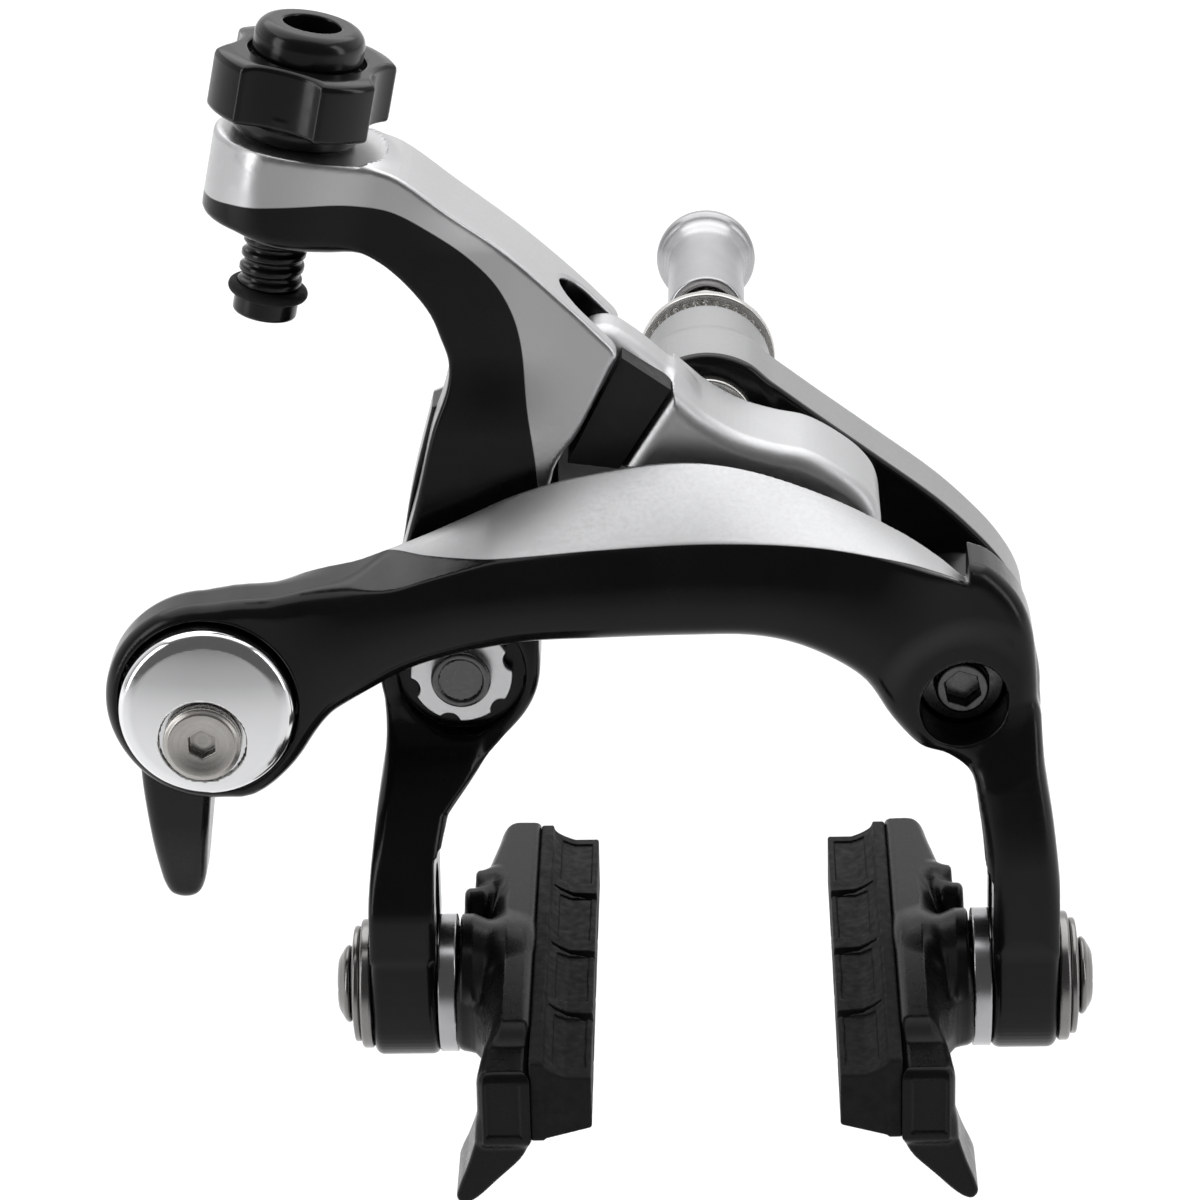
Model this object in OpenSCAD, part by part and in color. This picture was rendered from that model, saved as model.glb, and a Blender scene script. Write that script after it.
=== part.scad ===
/* [Pivots] */
// half the distance between the two arm pivots
pivot_x = 24.2; // [20:0.1:28]
// height of the arm pivots, below the fork bolt axis
pivot_z = -20.6; // [-26:0.1:-16]
// radius of the ground part of the pivot bolts
pin_r = 2.6; // [2:0.05:3.5]
// outer radius of the flanged pivot bushes
bush_r = 3.6; // [3:0.05:4.5]

/* [Bracket] */
// radius of the centre boss
boss_r = 6.5; // [6:0.1:9]
// front face of the bracket plate
bracket_front = -18; // [-20:0.1:-14]
// rear face of the bracket plate
bracket_rear = -9; // [-12:0.1:-6]
// radius of the bracket around each pivot
bracket_eye_r = 7.3; // [6:0.1:9]

/* [Fork fixing] */
// radius of the fork bolt shank
bolt_r = 3; // [2.5:0.05:3.5]
// radius of the fork bolt's shank inside the bracket
shank_r = 3.6; // [3.2:0.05:4.2]
// radius of the fork bolt's threaded end
thread_r = 2.55; // [2.4:0.05:2.8]
// outer radius of the toothed ring
ring_r = 6.95; // [6:0.05:8]
// number of teeth on the toothed ring
ring_teeth = 36; // [18:1:48]
// outer radius of the sleeve of the fork nut
nut_r = 4; // [3.5:0.05:4.5]
// outer radius of the flange of the fork nut
nut_flange_r = 5.25; // [5:0.05:6.5]

/* [Arms] */
// front plane of the arm that turns on the left pivot
y_front = -32.8; // [-34:0.1:-31]
// rear plane of the arm that turns on the left pivot
y_rear = -20.4; // [-22:0.1:-19]
// rear plane of the front arm
c_rear = -35.2; // [-37:0.1:-34]
// outer face of both legs, from the centre plane
leg_out = 33.5; // [32:0.1:36]
// inner face of both legs, from the centre plane
leg_in = 27; // [25:0.1:29]
// fore and aft position of the shoe bolt axis
shoe_y = -38; // [-40:0.1:-35]
// half the fore and aft width of a leg
leg_half = 6.6; // [6:0.1:7.5]
// height of the lower end of the leg slot
slot_low = -52; // [-54:0.1:-50]
// height of the upper end of the leg slot
slot_high = -42; // [-45:0.1:-40]

/* [Quick release] */
// sideways position of the release axis
qr_x = -48; // [-50:0.1:-46]
// height of the release axis
qr_z = -19.2; // [-21:0.1:-17]
// radius of the polished release disc
qr_r = 8.4; // [7.5:0.1:9]
// radius of the front arm around the release
qr_eye_r = 10; // [9.2:0.1:11]
// sideways offset of the cable bolt from the release axis
cable_dx = -0.4; // [-1:0.1:1]
// height offset of the cable bolt from the release axis
cable_dz = -2.5; // [-4:0.1:-2]

/* [Adjuster] */
// sideways position of the middle of the adjuster head
adj_x = -39.5; // [-42:0.1:-37]
// fore and aft position of the adjuster axis
adj_y = -26.6; // [-28:0.1:-25]
// height of the middle of the adjuster head
adj_z = 28.3; // [26:0.1:31]
// sideways lean of the adjuster axis
adj_lean = 11.6; // [0:0.1:20]
// radius of the adjuster head of the arm
head_r = 7.6; // [7:0.1:9]
// radius of the threaded barrel
barrel_r = 3.1; // [2.5:0.05:3.5]
// radius of the cable housing seat
housing_r = 2.55; // [2.4:0.05:2.9]
// radius of the knob at its lobes
knob_r = 8.9; // [7.5:0.1:10]

/* [Shoes] */
// height of the shoe bolt axis
shoe_z = -51.5; // [-52:0.1:-42]
// pad face, from the centre plane
pad_face = 11.7; // [10:0.1:14]
// plane where pad and holder meet, from the centre plane
pad_back = 17.5; // [16:0.1:19]
// outer side of the holder body, from the centre plane
holder_out = 22.6; // [21:0.1:24]
// seat of the holder boss, from the centre plane
boss_out = 24.9; // [24:0.1:25.5]
// half length of the pad
pad_half = 25; // [22:0.1:28]
// radius of the arched upper side of pad and holder
arch_sag = 0.35; // [0:0.05:1.5]
// running gap between a shank and its hole
fit_gap = 0.05; // [0.02:0.01:0.1]
// clear gap between parts that move past each other
gap = 0.3; // [0.3:0.05:0.6]

/* [Output] */
// node to draw, or all

/* [Hidden] */
$fn = 48;
satin = [0.78, 0.79, 0.8];
grey = [0.62, 0.63, 0.64];
black = [0.06, 0.06, 0.07];
steel = [0.7, 0.69, 0.66];
rubber = [0.13, 0.13, 0.13];
leg_mid_y = shoe_y;
leg_front = shoe_y - leg_half;
leg_rear = shoe_y + leg_half;
bush_bore = pin_r + fit_gap;
cable_x = qr_x + cable_dx;
cable_z = qr_z + cable_dz;
pin_shank = 2.5;
roller_z = -8.4;

// a round bar along the fore and aft axis
module bar_y(x, z, y0, y1, r) {
  translate([x, y1, z]) rotate([90, 0, 0]) cylinder(h = y1 - y0, r = r);
}
// a round bar across the caliper
module bar_x(y, z, x0, x1, r) {
  translate([x0, y, z]) rotate([0, 90, 0]) cylinder(h = x1 - x0, r = r);
}
// a plate cut to an outline seen from the front
module plate(y0, y1, pts) {
  translate([0, y1, 0]) rotate([90, 0, 0]) linear_extrude(height = y1 - y0) polygon(pts);
}
// a plate cut to an outline seen from the side, outline given as [y, z]
module side_plate(x0, x1, pts) {
  translate([x0, 0, 0]) rotate([90, 0, 90]) linear_extrude(height = x1 - x0) polygon(pts);
}
// a hexagon socket along the fore and aft axis
module hex_y(x, z, y0, y1, af) {
  translate([x, y1, z]) rotate([90, 0, 0]) cylinder(h = y1 - y0, r = af / sqrt(3), $fn = 6);
}
// places its children on the adjuster axis
module on_adjuster() {
  translate([adj_x, adj_y, adj_z]) rotate([0, adj_lean, 0]) children();
}

module bracket() {
  color(grey) difference() {
    union() {
      bar_y(0, 0, bracket_front, -2.8, boss_r);
      for (s = [-1, 1]) {
        bar_y(s * pivot_x, pivot_z, bracket_front, bracket_rear, bracket_eye_r);
        plate(bracket_front, bracket_rear, [[0, 5.6], [s * 3.6, 5.2], [s * 6, 3.6], [s * 10.8, 0], [s * 16.5, -4.3],
          [s * 23, -9.4], [s * 26.2, -12.4], [s * 29, -15.6], [s * (pivot_x + 6), pivot_z], [s * (pivot_x - 2), -27.5],
          [s * 18, -24], [s * 12.5, -17], [s * 7, -13.4], [0, -12.4]]);
      }
    }
    bar_y(0, 0, bracket_front - 1, 0, shank_r + fit_gap);
    for (s = [-1, 1]) bar_y(s * pivot_x, pivot_z, bracket_front - 1, bracket_rear + 1, pin_shank);
    bar_y(-pivot_x, pivot_z, bracket_front - 1, -14.6, 7.45);
    plate(bracket_front - 1, -14.6, [[-pivot_x - 8, -27], [-pivot_x - 8, -12.5], [-pivot_x - 1, -12], [-pivot_x + 3, -27]]);
  }
}

module fork_bolt() {
  color(steel) difference() {
    union() {
      bar_y(0, 0, bracket_front, -0.3, shank_r);
      bar_y(0, 0, -0.4, 12, bolt_r);
      bar_y(0, 0, 11.9, 24, thread_r);
      bar_y(0, 0, bracket_front - 1.6, bracket_front, 4.6);
      translate([0, 24, 0]) rotate([-90, 0, 0]) cylinder(h = 1, r1 = thread_r, r2 = thread_r - 0.6);
    }
    hex_y(0, 0, bracket_front - 2, bracket_front + 2, 5);
  }
}

module toothed_ring() {
  color(steel) difference() {
    union() {
      bar_y(0, 0, -1.2, 0, ring_r);
      bar_y(0, 0, -2.8, -1.2, ring_r - 0.9);
      for (i = [0 : ring_teeth - 1]) rotate([0, i * 360 / ring_teeth, 0])
        translate([ring_r - 1.3, -2.7, -0.28]) cube([0.9, 1.6, 0.56]);
    }
    bar_y(0, 0, -3, 1, shank_r + fit_gap);
  }
}

module fork_nut() {
  color(satin) difference() {
    union() {
      bar_y(0, 0, 12.3, 30, nut_r);
      bar_y(0, 0, 29.4, 31.2, nut_flange_r);
      translate([0, 27.6, 0]) rotate([-90, 0, 0]) cylinder(h = 1.8, r1 = nut_r, r2 = nut_flange_r);
    }
    bar_y(0, 0, 11, 26, thread_r + fit_gap);
    hex_y(0, 0, 25.9, 32, 5);
  }
}

module left_pivot_bolt() {
  color(black) difference() {
    union() {
      bar_y(-pivot_x, pivot_z, -14.7, bracket_rear, pin_shank);
      bar_y(-pivot_x, pivot_z, -33.1, -14.7, pin_r);
      bar_y(-pivot_x, pivot_z, -34.2, -33.1, 2.95);
      translate([-pivot_x, -34.2, pivot_z]) rotate([90, 0, 0]) cylinder(h = 0.5, r1 = 2.95, r2 = 2.45);
    }
    bar_y(-pivot_x, pivot_z, -35, -34.4, 2.2);
  }
}

module left_lock_ring() {
  color(satin) difference() {
    bar_y(-pivot_x, pivot_z, -33.1, -32, 5);
    bar_y(-pivot_x, pivot_z, -34, -31.9, pin_r);
    for (i = [0 : 5]) translate([-pivot_x, 0, pivot_z]) rotate([0, i * 60 - 15.5, 0])
      bar_y(5.4, 0, -34, -31.9, 1.15);
  }
}

module left_collar() {
  color(steel) difference() {
    bar_y(-pivot_x, pivot_z, -20.1, -14.6, 3.9);
    bar_y(-pivot_x, pivot_z, -21, -14, pin_r);
  }
}

module right_pivot_bolt() {
  color(black) difference() {
    union() {
      bar_y(pivot_x, pivot_z, -18, bracket_rear, pin_shank);
      bar_y(pivot_x, pivot_z, -36, -18, pin_r);
      bar_y(pivot_x, pivot_z, -38.1, -36, 2.6);
      bar_y(pivot_x, pivot_z, -36.2, -35.5, 3.55);
    }
    hex_y(pivot_x, pivot_z, -39, -36.2, 3);
  }
}

module right_collar() {
  color(steel) difference() {
    bar_y(pivot_x, pivot_z, -20.1, bracket_front, 5.2);
    bar_y(pivot_x, pivot_z, -21, -17, pin_r);
  }
}

module return_spring() {
  color(steel) {
    for (y = [-16.1, -17.4, -18.7]) translate([-pivot_x, y, pivot_z]) rotate([90, 0, 0]) rotate_extrude() translate([5.6, 0]) circle(r = 0.6);
    translate([-pivot_x + 5.6, 0, 0]) bar_y(0, pivot_z, -18.8, -16, 0.4);
    translate([-pivot_x - 2.8, -16.1, pivot_z + 4.85]) cylinder(h = 12, r = 0.5);
    translate([-pivot_x - 2.8, -18.7, pivot_z - 12.85]) cylinder(h = 8, r = 0.5);
  }
}

// one cross section of the front arm: rear top, crease, front, bottom
module c_section(x, yr, zt, yc, zc, yf, zf, zb) {
  translate([x, 0, 0]) rotate([90, 0, 90]) linear_extrude(height = 0.2)
    polygon([[yr, zt], [yr - 0.8, zt + 0.35], [yc, zc], [yf, zf], [yf + 0.3, zb + 3], [yf + 2, zb + 0.9], [yf + 4.5, zb], [yr - 1, zb + 0.4], [yr, zb + 1.4]]);
}

module c_arm() {
  color(black) difference() {
    union() {
      bar_y(qr_x, qr_z, -43.2, c_rear, qr_eye_r);
      hull() { c_section(-47, c_rear, -10.2, -40, -9.2, -43.4, -14, -27.4); c_section(-38, c_rear, -8.6, -39.6, -7.4, -43.6, -10.5, -21.2); }
      hull() { c_section(-38, c_rear, -8.6, -39.6, -7.4, -43.6, -10.5, -21.2); c_section(-29, c_rear, -5.6, -40, -4.6, -44.4, -6.6, -16.2); }
      hull() { c_section(-29, c_rear, -5.6, -40, -4.6, -44.4, -6.6, -16.2); c_section(-16, c_rear, 0, -43.2, -4.2, -45.4, -6, -13); }
      hull() { c_section(-16, c_rear, 0, -43.2, -4.2, -45.4, -6, -13); c_section(-1, c_rear, 2.2, -43.6, -3.1, -45.6, -5.6, -12.4); }
      hull() { c_section(-1, c_rear, 2.2, -43.6, -3.1, -45.6, -5.6, -12.4); c_section(12, c_rear, -2, -43.2, -3.9, -45, -6.4, -15.2); }
      hull() { c_section(12, c_rear, -2, -43.2, -3.9, -45, -6.4, -15.2); c_section(22, c_rear, -8.2, -41.6, -6.9, -42.6, -10, -26); }
      plate(-42, c_rear, [[12, -4.5], [21, -8.6], [24.9, -7.8], [27.6, -9], [29.7, -11.6], [30.8, -14.5], [31.3, -17.9], [31.7, -26.5],
        [33, -33], [30, -34], [26.5, -30], [22.7, -26.2], [20, -25], [17.3, -22], [14.8, -18]]);
      bar_y(pivot_x, pivot_z, c_rear - 1, y_rear, bracket_eye_r);
      side_plate(leg_in, leg_out, [[leg_front, slot_low], [leg_front, -32], [-42, -25.6], [-30, -25.6], [leg_rear, -30], [leg_rear, slot_low]]);
      bar_x(shoe_y, slot_low, leg_in, leg_out, leg_half);
    }
    bar_y(pivot_x, pivot_z, -36, y_rear + 1, bush_r);
    bar_y(pivot_x, pivot_z, -43, -35.4, 4.25);
    bar_y(qr_x, qr_z, -44, c_rear + 1, 4 + fit_gap);
    bar_y(qr_x, qr_z, -44, -40.9, qr_r + gap);
    bar_x(shoe_y, slot_low + 0.2, leg_in - 1, leg_out + 1, 3.2);
    bar_x(shoe_y, slot_high, leg_in - 1, leg_out + 1, 3.2);
    translate([leg_in - 1, shoe_y - 3.2, slot_low]) cube([leg_out - leg_in + 2, 6.4, slot_high - slot_low]);
    bar_y(0, roller_z, c_rear - 3, c_rear + 1, 1.6);
    side_plate(leg_out - 0.4, leg_out + 2, [[-50, -37], [-50, -20], [-20, -20], [-20, -37]]);
  }
}

module c_arm_bush() {
  color(steel) difference() {
    bar_y(pivot_x, pivot_z, -35.2, y_rear, bush_r);
    bar_y(pivot_x, pivot_z, -36, y_rear + 1, bush_bore);
  }
}

module roller_pin() {
  color(steel) union() {
    bar_y(0, roller_z, c_rear - 3, -23.6, 1.6);
    bar_y(0, roller_z, -35.2, -34.3, 2.4);
  }
}

module roller() {
  color(steel) difference() {
    bar_y(0, roller_z, -33.9, -24, 2.8);
    bar_y(0, roller_z, -35, -23, 1.6 + fit_gap);
  }
}

module qr_cam() {
  color(satin) difference() {
    union() {
      translate([qr_x, -41, qr_z]) rotate([90, 0, 0]) rotate_extrude()
        polygon([[0, 0], [qr_r - 0.4, 0], [qr_r, 0.4], [qr_r, 3.2], [qr_r - 0.6, 4], [qr_r - 2.4, 4.7], [4.6, 5.1], [0, 5.2]]);
      bar_y(qr_x, qr_z, -41.2, -31.5, 4);
    }
    bar_y(cable_x, cable_z, -47, -45.2, 4.1 + fit_gap);
    bar_y(cable_x, cable_z, -46, -41.5, 1.5 + fit_gap);
  }
}

module qr_lever() {
  color(black) difference() {
    union() {
      bar_y(qr_x, qr_z, -34.9, -31.5, 7);
      plate(-34.9, -31.5, [[qr_x - 6.9, qr_z], [-55.2, -27], [-54.6, -31], [-48.6, -31], [-47.2, -25.4], [qr_x + 4, qr_z - 5]]);
      plate(-40.6, -31.5, [[-55, -29.4], [-54.4, -34], [-54, -39.6], [-53.4, -41.3], [-52, -42], [-50.6, -41.6], [-49.9, -40.6], [-49.4, -36],
        [-48.6, -31.6], [-48.4, -29.4]]);
    }
    bar_y(qr_x, qr_z, -41.5, -31, 4);
    bar_y(qr_x, qr_z, -42, -34.9, qr_eye_r + 0.4);
  }
}

module cable_bolt() {
  color(steel) difference() {
    union() {
      bar_y(cable_x, cable_z, -46.3, -45.25, 4.1);
      translate([cable_x, -46.3, cable_z]) rotate([90, 0, 0]) cylinder(h = 0.6, r1 = 4.1, r2 = 3.4);
      bar_y(cable_x, cable_z, -45.4, -41.6, 1.5);
    }
    hex_y(cable_x, cable_z, -47.2, -45, 2.5);
  }
}

module cable_clamp() {
  color(steel) difference() {
    union() {
      bar_y(qr_x, qr_z, -31.5, -30, 5.2);
      bar_y(cable_x, cable_z + 1.2, -30, -23.8, 3.4);
    }
    translate([cable_x, adj_y, cable_z - 8]) cylinder(h = 20, r = 0.9, $fn = 24);
    hex_y(cable_x, cable_z + 1.2, -24.9, -23, 3);
  }
}

module y_arm() {
  color(satin) difference() {
    union() {
      on_adjuster() translate([0, 0, -4.3]) cylinder(h = 8.6, r = head_r);
      plate(y_front, y_rear, [[-41, 32.2], [-33, 31.1], [-30.2, 30.8], [-28, 29.6], [-23.6, 26], [-17, 20.7], [-10.2, 14.2], [-8.4, 12.3],
        [-10.6, 8], [-18, 8], [-24.6, 8.6], [-24.4, 11.6], [-25.2, 13.8], [-26.1, 16.2], [-27.9, 18.8], [-30.2, 21.1], [-32.6, 22.6], [-36, 23.8], [-41, 24.6]]);
      plate(y_front, -26.4, [[-8.9, 11.4], [-12.3, 4.1], [-14.7, 0.4], [-15.8, -8], [-16.8, -18], [-18.4, -26], [-23, -28.6], [-31.4, -26],
        [-31.6, -16], [-30.4, -10], [-27.8, -2.3], [-26.1, 4.3], [-24.8, 9.2]]);
      bar_y(-pivot_x, pivot_z, y_front, -26.4, 7.5);
      hull() {
        translate([-31.5, y_front, -26]) cube([14, 6.4, 1]);
        translate([-leg_out, leg_front, -35]) cube([leg_out - leg_in, 2 * leg_half, 1]);
      }
      side_plate(-leg_out, -leg_in, [[leg_front, slot_low], [leg_front, -34.2], [leg_rear, -34.2], [leg_rear, slot_low]]);
      bar_x(shoe_y, slot_low, -leg_out, -leg_in, leg_half);
    }
    on_adjuster() translate([0, 0, -6]) cylinder(h = 12, r = barrel_r + fit_gap);
    bar_y(-pivot_x, pivot_z, y_front - 1, -26, bush_r);
    bar_y(-pivot_x, pivot_z, y_front - 12, y_front - 0.01, 8.2);
    bar_y(-pivot_x, pivot_z, y_front - 1, -31.7, 6.4);
    bar_x(shoe_y, slot_low + 0.2, -leg_out - 1, -leg_in + 1, 3.2);
    bar_x(shoe_y, slot_high, -leg_out - 1, -leg_in + 1, 3.2);
    translate([-leg_out - 1, shoe_y - 3.2, slot_low]) cube([leg_out - leg_in + 2, 6.4, slot_high - slot_low]);
    plate(-30.4, -22.5, [[-17.6, 22.5], [-6, 13], [-9.4, 5], [-14.8, 7.3], [-16.6, 14]]);
    plate(-30.4, y_rear + 1, [[-11, 16], [-6, 13], [-9.4, 5], [-12.6, 6.3]]);
  }
}

module y_arm_bush() {
  color(steel) difference() {
    bar_y(-pivot_x, pivot_z, -31.8, -26.4, bush_r);
    bar_y(-pivot_x, pivot_z, y_front - 1, -26, bush_bore);
  }
}

module sync_lever() {
  color(satin) difference() {
    union() {
      bar_y(-pivot_x, pivot_z, -26, y_rear, 7.4);
      plate(-26, y_rear, [[-31.3, -19], [-29.9, -10], [-28.8, -4], [-26.6, 4.6], [-21, 6.6], [-13, 6.8], [0, 3], [-6, -9], [-14, -12], [-17.2, -18], [-20, -25]]);
      plate(-32.6, y_rear, [[-3.2, 8.2], [-1.8, 6.9], [0, 5.3], [3.3, 3.3], [6.6, 2.2], [9.6, 1.5], [12.6, -0.2], [15, -2.2], [16.3, -4.2], [16.6, -6.6],
        [15.6, -8.6], [13.4, -9], [8, -4.6], [3.5, -4.4], [-2, -4.2], [-8.4, 0.2]]);
      plate(-27.6, -22.8, [[-11.4, 6.8], [-13.2, 8.8], [-13, 11.2], [-11.4, 13.2], [-9.2, 13.6], [-6.3, 11.4], [-3, 8.6], [-2, 0], [-8, 4]]);
    }
    bar_y(-pivot_x, pivot_z, -27, y_rear + 1, bush_r);
    translate([12.4, 0, 0]) bar_y(0, -4.8, -33, -31, 1.3);
  }
}

module lever_bush() {
  color(steel) difference() {
    bar_y(-pivot_x, pivot_z, -26, y_rear, bush_r);
    bar_y(-pivot_x, pivot_z, -27, y_rear + 1, bush_bore);
  }
}

module lever_block() {
  color(black) plate(-32.2, -27.6, [[-8, 11.6], [-3.4, 8.3], [-8.5, 0.3], [-13.4, 1]]);
}

module centring_screw() {
  color(steel) difference() {
    union() {
      translate([12.4, -31, -4.8]) rotate([90, 0, 0]) cylinder(h = 2.4, r = 1.25);
    }
    hex_y(12.4, -4.8, -34, -32.4, 1.4);
  }
}

module adjuster_barrel() {
  color(black) on_adjuster() difference() {
    union() {
      translate([0, 0, -13.9]) cylinder(h = 26, r = barrel_r);
      translate([0, 0, 11.7]) cylinder(h = 2.7, r = 5.3);
      translate([0, 0, 14.4]) cylinder(h = 1, r1 = 5.3, r2 = 4.5);
    }
    translate([0, 0, -14]) cylinder(h = 30, r = 1);
    translate([0, 0, 3]) cylinder(h = 13, r = housing_r);
    translate([0, 0, 14.8]) cylinder(h = 0.7, r1 = housing_r, r2 = housing_r + 0.4);
    translate([0, 0, -11.4]) rotate_extrude() translate([barrel_r + 0.15, 0]) circle(r = 0.6, $fn = 20);
  }
}

module barrel_o_ring() {
  color(rubber) on_adjuster() translate([0, 0, -11.4]) rotate_extrude() translate([barrel_r + 0.15, 0]) circle(r = 0.6, $fn = 20);
}

// four broad lobes with a hollow scooped between each pair
function lobes(n) = [for (i = [0 : n - 1]) let (a = i * 360 / n, t = abs((a + 12) % 90 - 45), r = t > 32 ? knob_r : knob_r - 2.1 * pow(cos(t * 90 / 32), 1.3)) [r * cos(a), r * sin(a)]];

module adjuster_knob() {
  color(black) on_adjuster() difference() {
    union() {
      translate([0, 0, 4.5]) cylinder(h = 2, r1 = 6, r2 = 6.5);
      translate([0, 0, 6.3]) linear_extrude(height = 6.1) polygon(lobes(90));
    }
    translate([0, 0, 4]) cylinder(h = 9, r = barrel_r + fit_gap);
    translate([0, 0, 11.4]) cylinder(h = 2, r = 5.7);
  }
}

// shoe hardware is drawn on the left and mirrored for the right
module shoe_bolt() {
  color(steel) difference() {
    union() {
      bar_x(shoe_y, shoe_z, -leg_out - 3.7, -leg_out - 2.2, 4);
      bar_x(shoe_y, shoe_z, -leg_out - 2.4, -holder_out, 2.9);
    }
    translate([-leg_out - 4, shoe_y, shoe_z]) rotate([0, 90, 0]) cylinder(h = 2.6, r = 4 / sqrt(3), $fn = 6);
  }
}

module dished_washer() {
  color(steel) difference() {
    translate([-leg_out - 1.2, shoe_y, shoe_z]) rotate([0, -90, 0]) cylinder(h = 1, r1 = 5.75, r2 = 4.6);
    bar_x(shoe_y, shoe_z, -leg_out - 4, -leg_out, 2.9 + fit_gap);
  }
}

module flat_washer() {
  color(steel) difference() {
    bar_x(shoe_y, shoe_z, -leg_out - 1.2, -leg_out, 6.4);
    bar_x(shoe_y, shoe_z, -leg_out - 4, -leg_out + 1, 2.9 + fit_gap);
  }
}

module spacer() {
  color(satin) difference() {
    bar_x(shoe_y, shoe_z, -leg_in, -leg_in + 2.1 - gap, 6.8);
    bar_x(shoe_y, shoe_z, -leg_in - 1, -leg_in + 4, 2.9 + fit_gap);
  }
}

// arched outline of pad or holder, upper and lower side given from the shoe axis; the far end sits higher than the near end
function rise(t) = 0.6 * t - arch_sag * t * t;
function arch(half, up, down) = concat(
  [for (i = [-5 : 5]) [shoe_y + half * i / 5, shoe_z + up + rise(i / 5)]],
  [for (i = [5 : -1 : -5]) [shoe_y + half * i / 5, shoe_z - down + rise(i / 5)]]);

module holder() {
  color(black) difference() {
    union() {
      side_plate(-holder_out, -pad_back, arch(pad_half + 0.4, 5.6, 4));
      bar_x(shoe_y, shoe_z, -boss_out, -holder_out, 6.8);
      bar_x(shoe_y + 10, shoe_z + 5, -boss_out, -holder_out + 1.5, 1.9);
      bar_x(shoe_y + 14.5, shoe_z + 5.2, -boss_out + 1.3, -holder_out + 1.5, 1.4);
      plate(shoe_y - pad_half - 0.4, shoe_y - pad_half + 8, [[-22.6, shoe_z - 4.2], [-23.4, -58.6], [-24.6, -61.6], [-24.8, -63], [-24.2, -63.6], [-23, -63.3],
        [-18.3, -57.8], [-17.6, shoe_z - 4.2]]);
    }
    bar_x(shoe_y, shoe_z, -boss_out - 1, -pad_back - 1.6, 2.9);
    translate([-20, shoe_y - pad_half + 4, shoe_z - 6]) cylinder(h = 14, r = 1);
  }
}

module pad() {
  color(rubber) difference() {
    side_plate(-pad_back, -pad_face, arch(pad_half, 5, 3.4));
    for (i = [-1 : 1]) translate([-pad_back + 1.6, shoe_y + i * pad_half / 2 + 0.2, shoe_z - 8]) rotate([0, 0, -8]) cube([8, 1, 16]);
  }
}

module pad_screw() {
  color(steel) difference() {
    translate([-20, shoe_y - pad_half + 4, shoe_z - 4]) cylinder(h = 6.4, r = 1);
    translate([-20, shoe_y - pad_half + 4, shoe_z + 1.4]) cylinder(h = 2, r = 0.6, $fn = 6);
  }
}

module left_bolt() { shoe_bolt(); }
module left_dished_washer() { dished_washer(); }
module left_flat_washer() { flat_washer(); }
module left_spacer() { spacer(); }
module left_holder() { holder(); }
module left_pad() { pad(); }
module left_pad_screw() { pad_screw(); }
module right_bolt() { mirror([1, 0, 0]) shoe_bolt(); }
module right_dished_washer() { mirror([1, 0, 0]) dished_washer(); }
module right_flat_washer() { mirror([1, 0, 0]) flat_washer(); }
module right_spacer() { mirror([1, 0, 0]) spacer(); }
module right_holder() { mirror([1, 0, 0]) holder(); }
module right_pad() { mirror([1, 0, 0]) pad(); }
module right_pad_screw() { mirror([1, 0, 0]) pad_screw(); }

bracket();
fork_bolt();
toothed_ring();
fork_nut();
left_pivot_bolt();
left_lock_ring();
left_collar();
right_pivot_bolt();
right_collar();
return_spring();
c_arm();
c_arm_bush();
roller_pin();
roller();
qr_cam();
qr_lever();
cable_bolt();
cable_clamp();
y_arm();
y_arm_bush();
sync_lever();
lever_bush();
lever_block();
centring_screw();
adjuster_barrel();
barrel_o_ring();
adjuster_knob();
left_bolt();
left_dished_washer();
left_flat_washer();
left_spacer();
left_holder();
left_pad();
left_pad_screw();
right_bolt();
right_dished_washer();
right_flat_washer();
right_spacer();
right_holder();
right_pad();
right_pad_screw();
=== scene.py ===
import math
import bpy
import numpy as np
from mathutils import Matrix, Vector


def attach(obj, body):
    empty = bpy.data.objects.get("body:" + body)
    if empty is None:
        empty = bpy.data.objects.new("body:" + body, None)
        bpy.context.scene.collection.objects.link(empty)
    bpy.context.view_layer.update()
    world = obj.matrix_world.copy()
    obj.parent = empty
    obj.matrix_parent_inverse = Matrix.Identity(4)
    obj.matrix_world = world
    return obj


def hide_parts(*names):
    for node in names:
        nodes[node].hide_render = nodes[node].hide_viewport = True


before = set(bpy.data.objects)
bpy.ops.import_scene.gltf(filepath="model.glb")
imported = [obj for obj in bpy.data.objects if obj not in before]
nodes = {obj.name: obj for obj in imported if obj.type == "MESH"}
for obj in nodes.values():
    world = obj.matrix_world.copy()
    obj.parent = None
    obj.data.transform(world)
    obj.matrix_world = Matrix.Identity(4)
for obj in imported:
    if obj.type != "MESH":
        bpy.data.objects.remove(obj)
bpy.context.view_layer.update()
scene = bpy.context.scene

# ---------------------------------------------------------------- sizes, mm
PX, PZ = 24.2, -20.6
QX, QZ = -48.0, -19.2
CX, CZ = -48.4, -21.7
SY, SZ = -38.0, -51.5
LEAN = math.radians(11.6)
ADJ = (-39.5, -26.6, 28.3)

# ---------------------------------------------------------------- distance fields
def sq(v):
    return v * v

def clamp01(v):
    return np.minimum(np.maximum(v, 0.0), 1.0)

def smooth(v, a, b):
    t = clamp01((v - a) / (b - a))
    return t * t * (3 - 2 * t)

def imax(a, b, r):
    if r <= 0:
        return np.maximum(a, b)
    return np.minimum(-r, np.maximum(a, b)) + np.sqrt(sq(np.maximum(a + r, 0)) + sq(np.maximum(b + r, 0)))

def umin(a, b, r):
    if r <= 0:
        return np.minimum(a, b)
    return np.maximum(r, np.minimum(a, b)) - np.sqrt(sq(np.maximum(r - a, 0)) + sq(np.maximum(r - b, 0)))

def cut(a, b, r=0.0):
    return imax(a, -b, r)

def disc(u, v, cu, cv, r):
    return np.sqrt(sq(u - cu) + sq(v - cv)) - r

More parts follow.
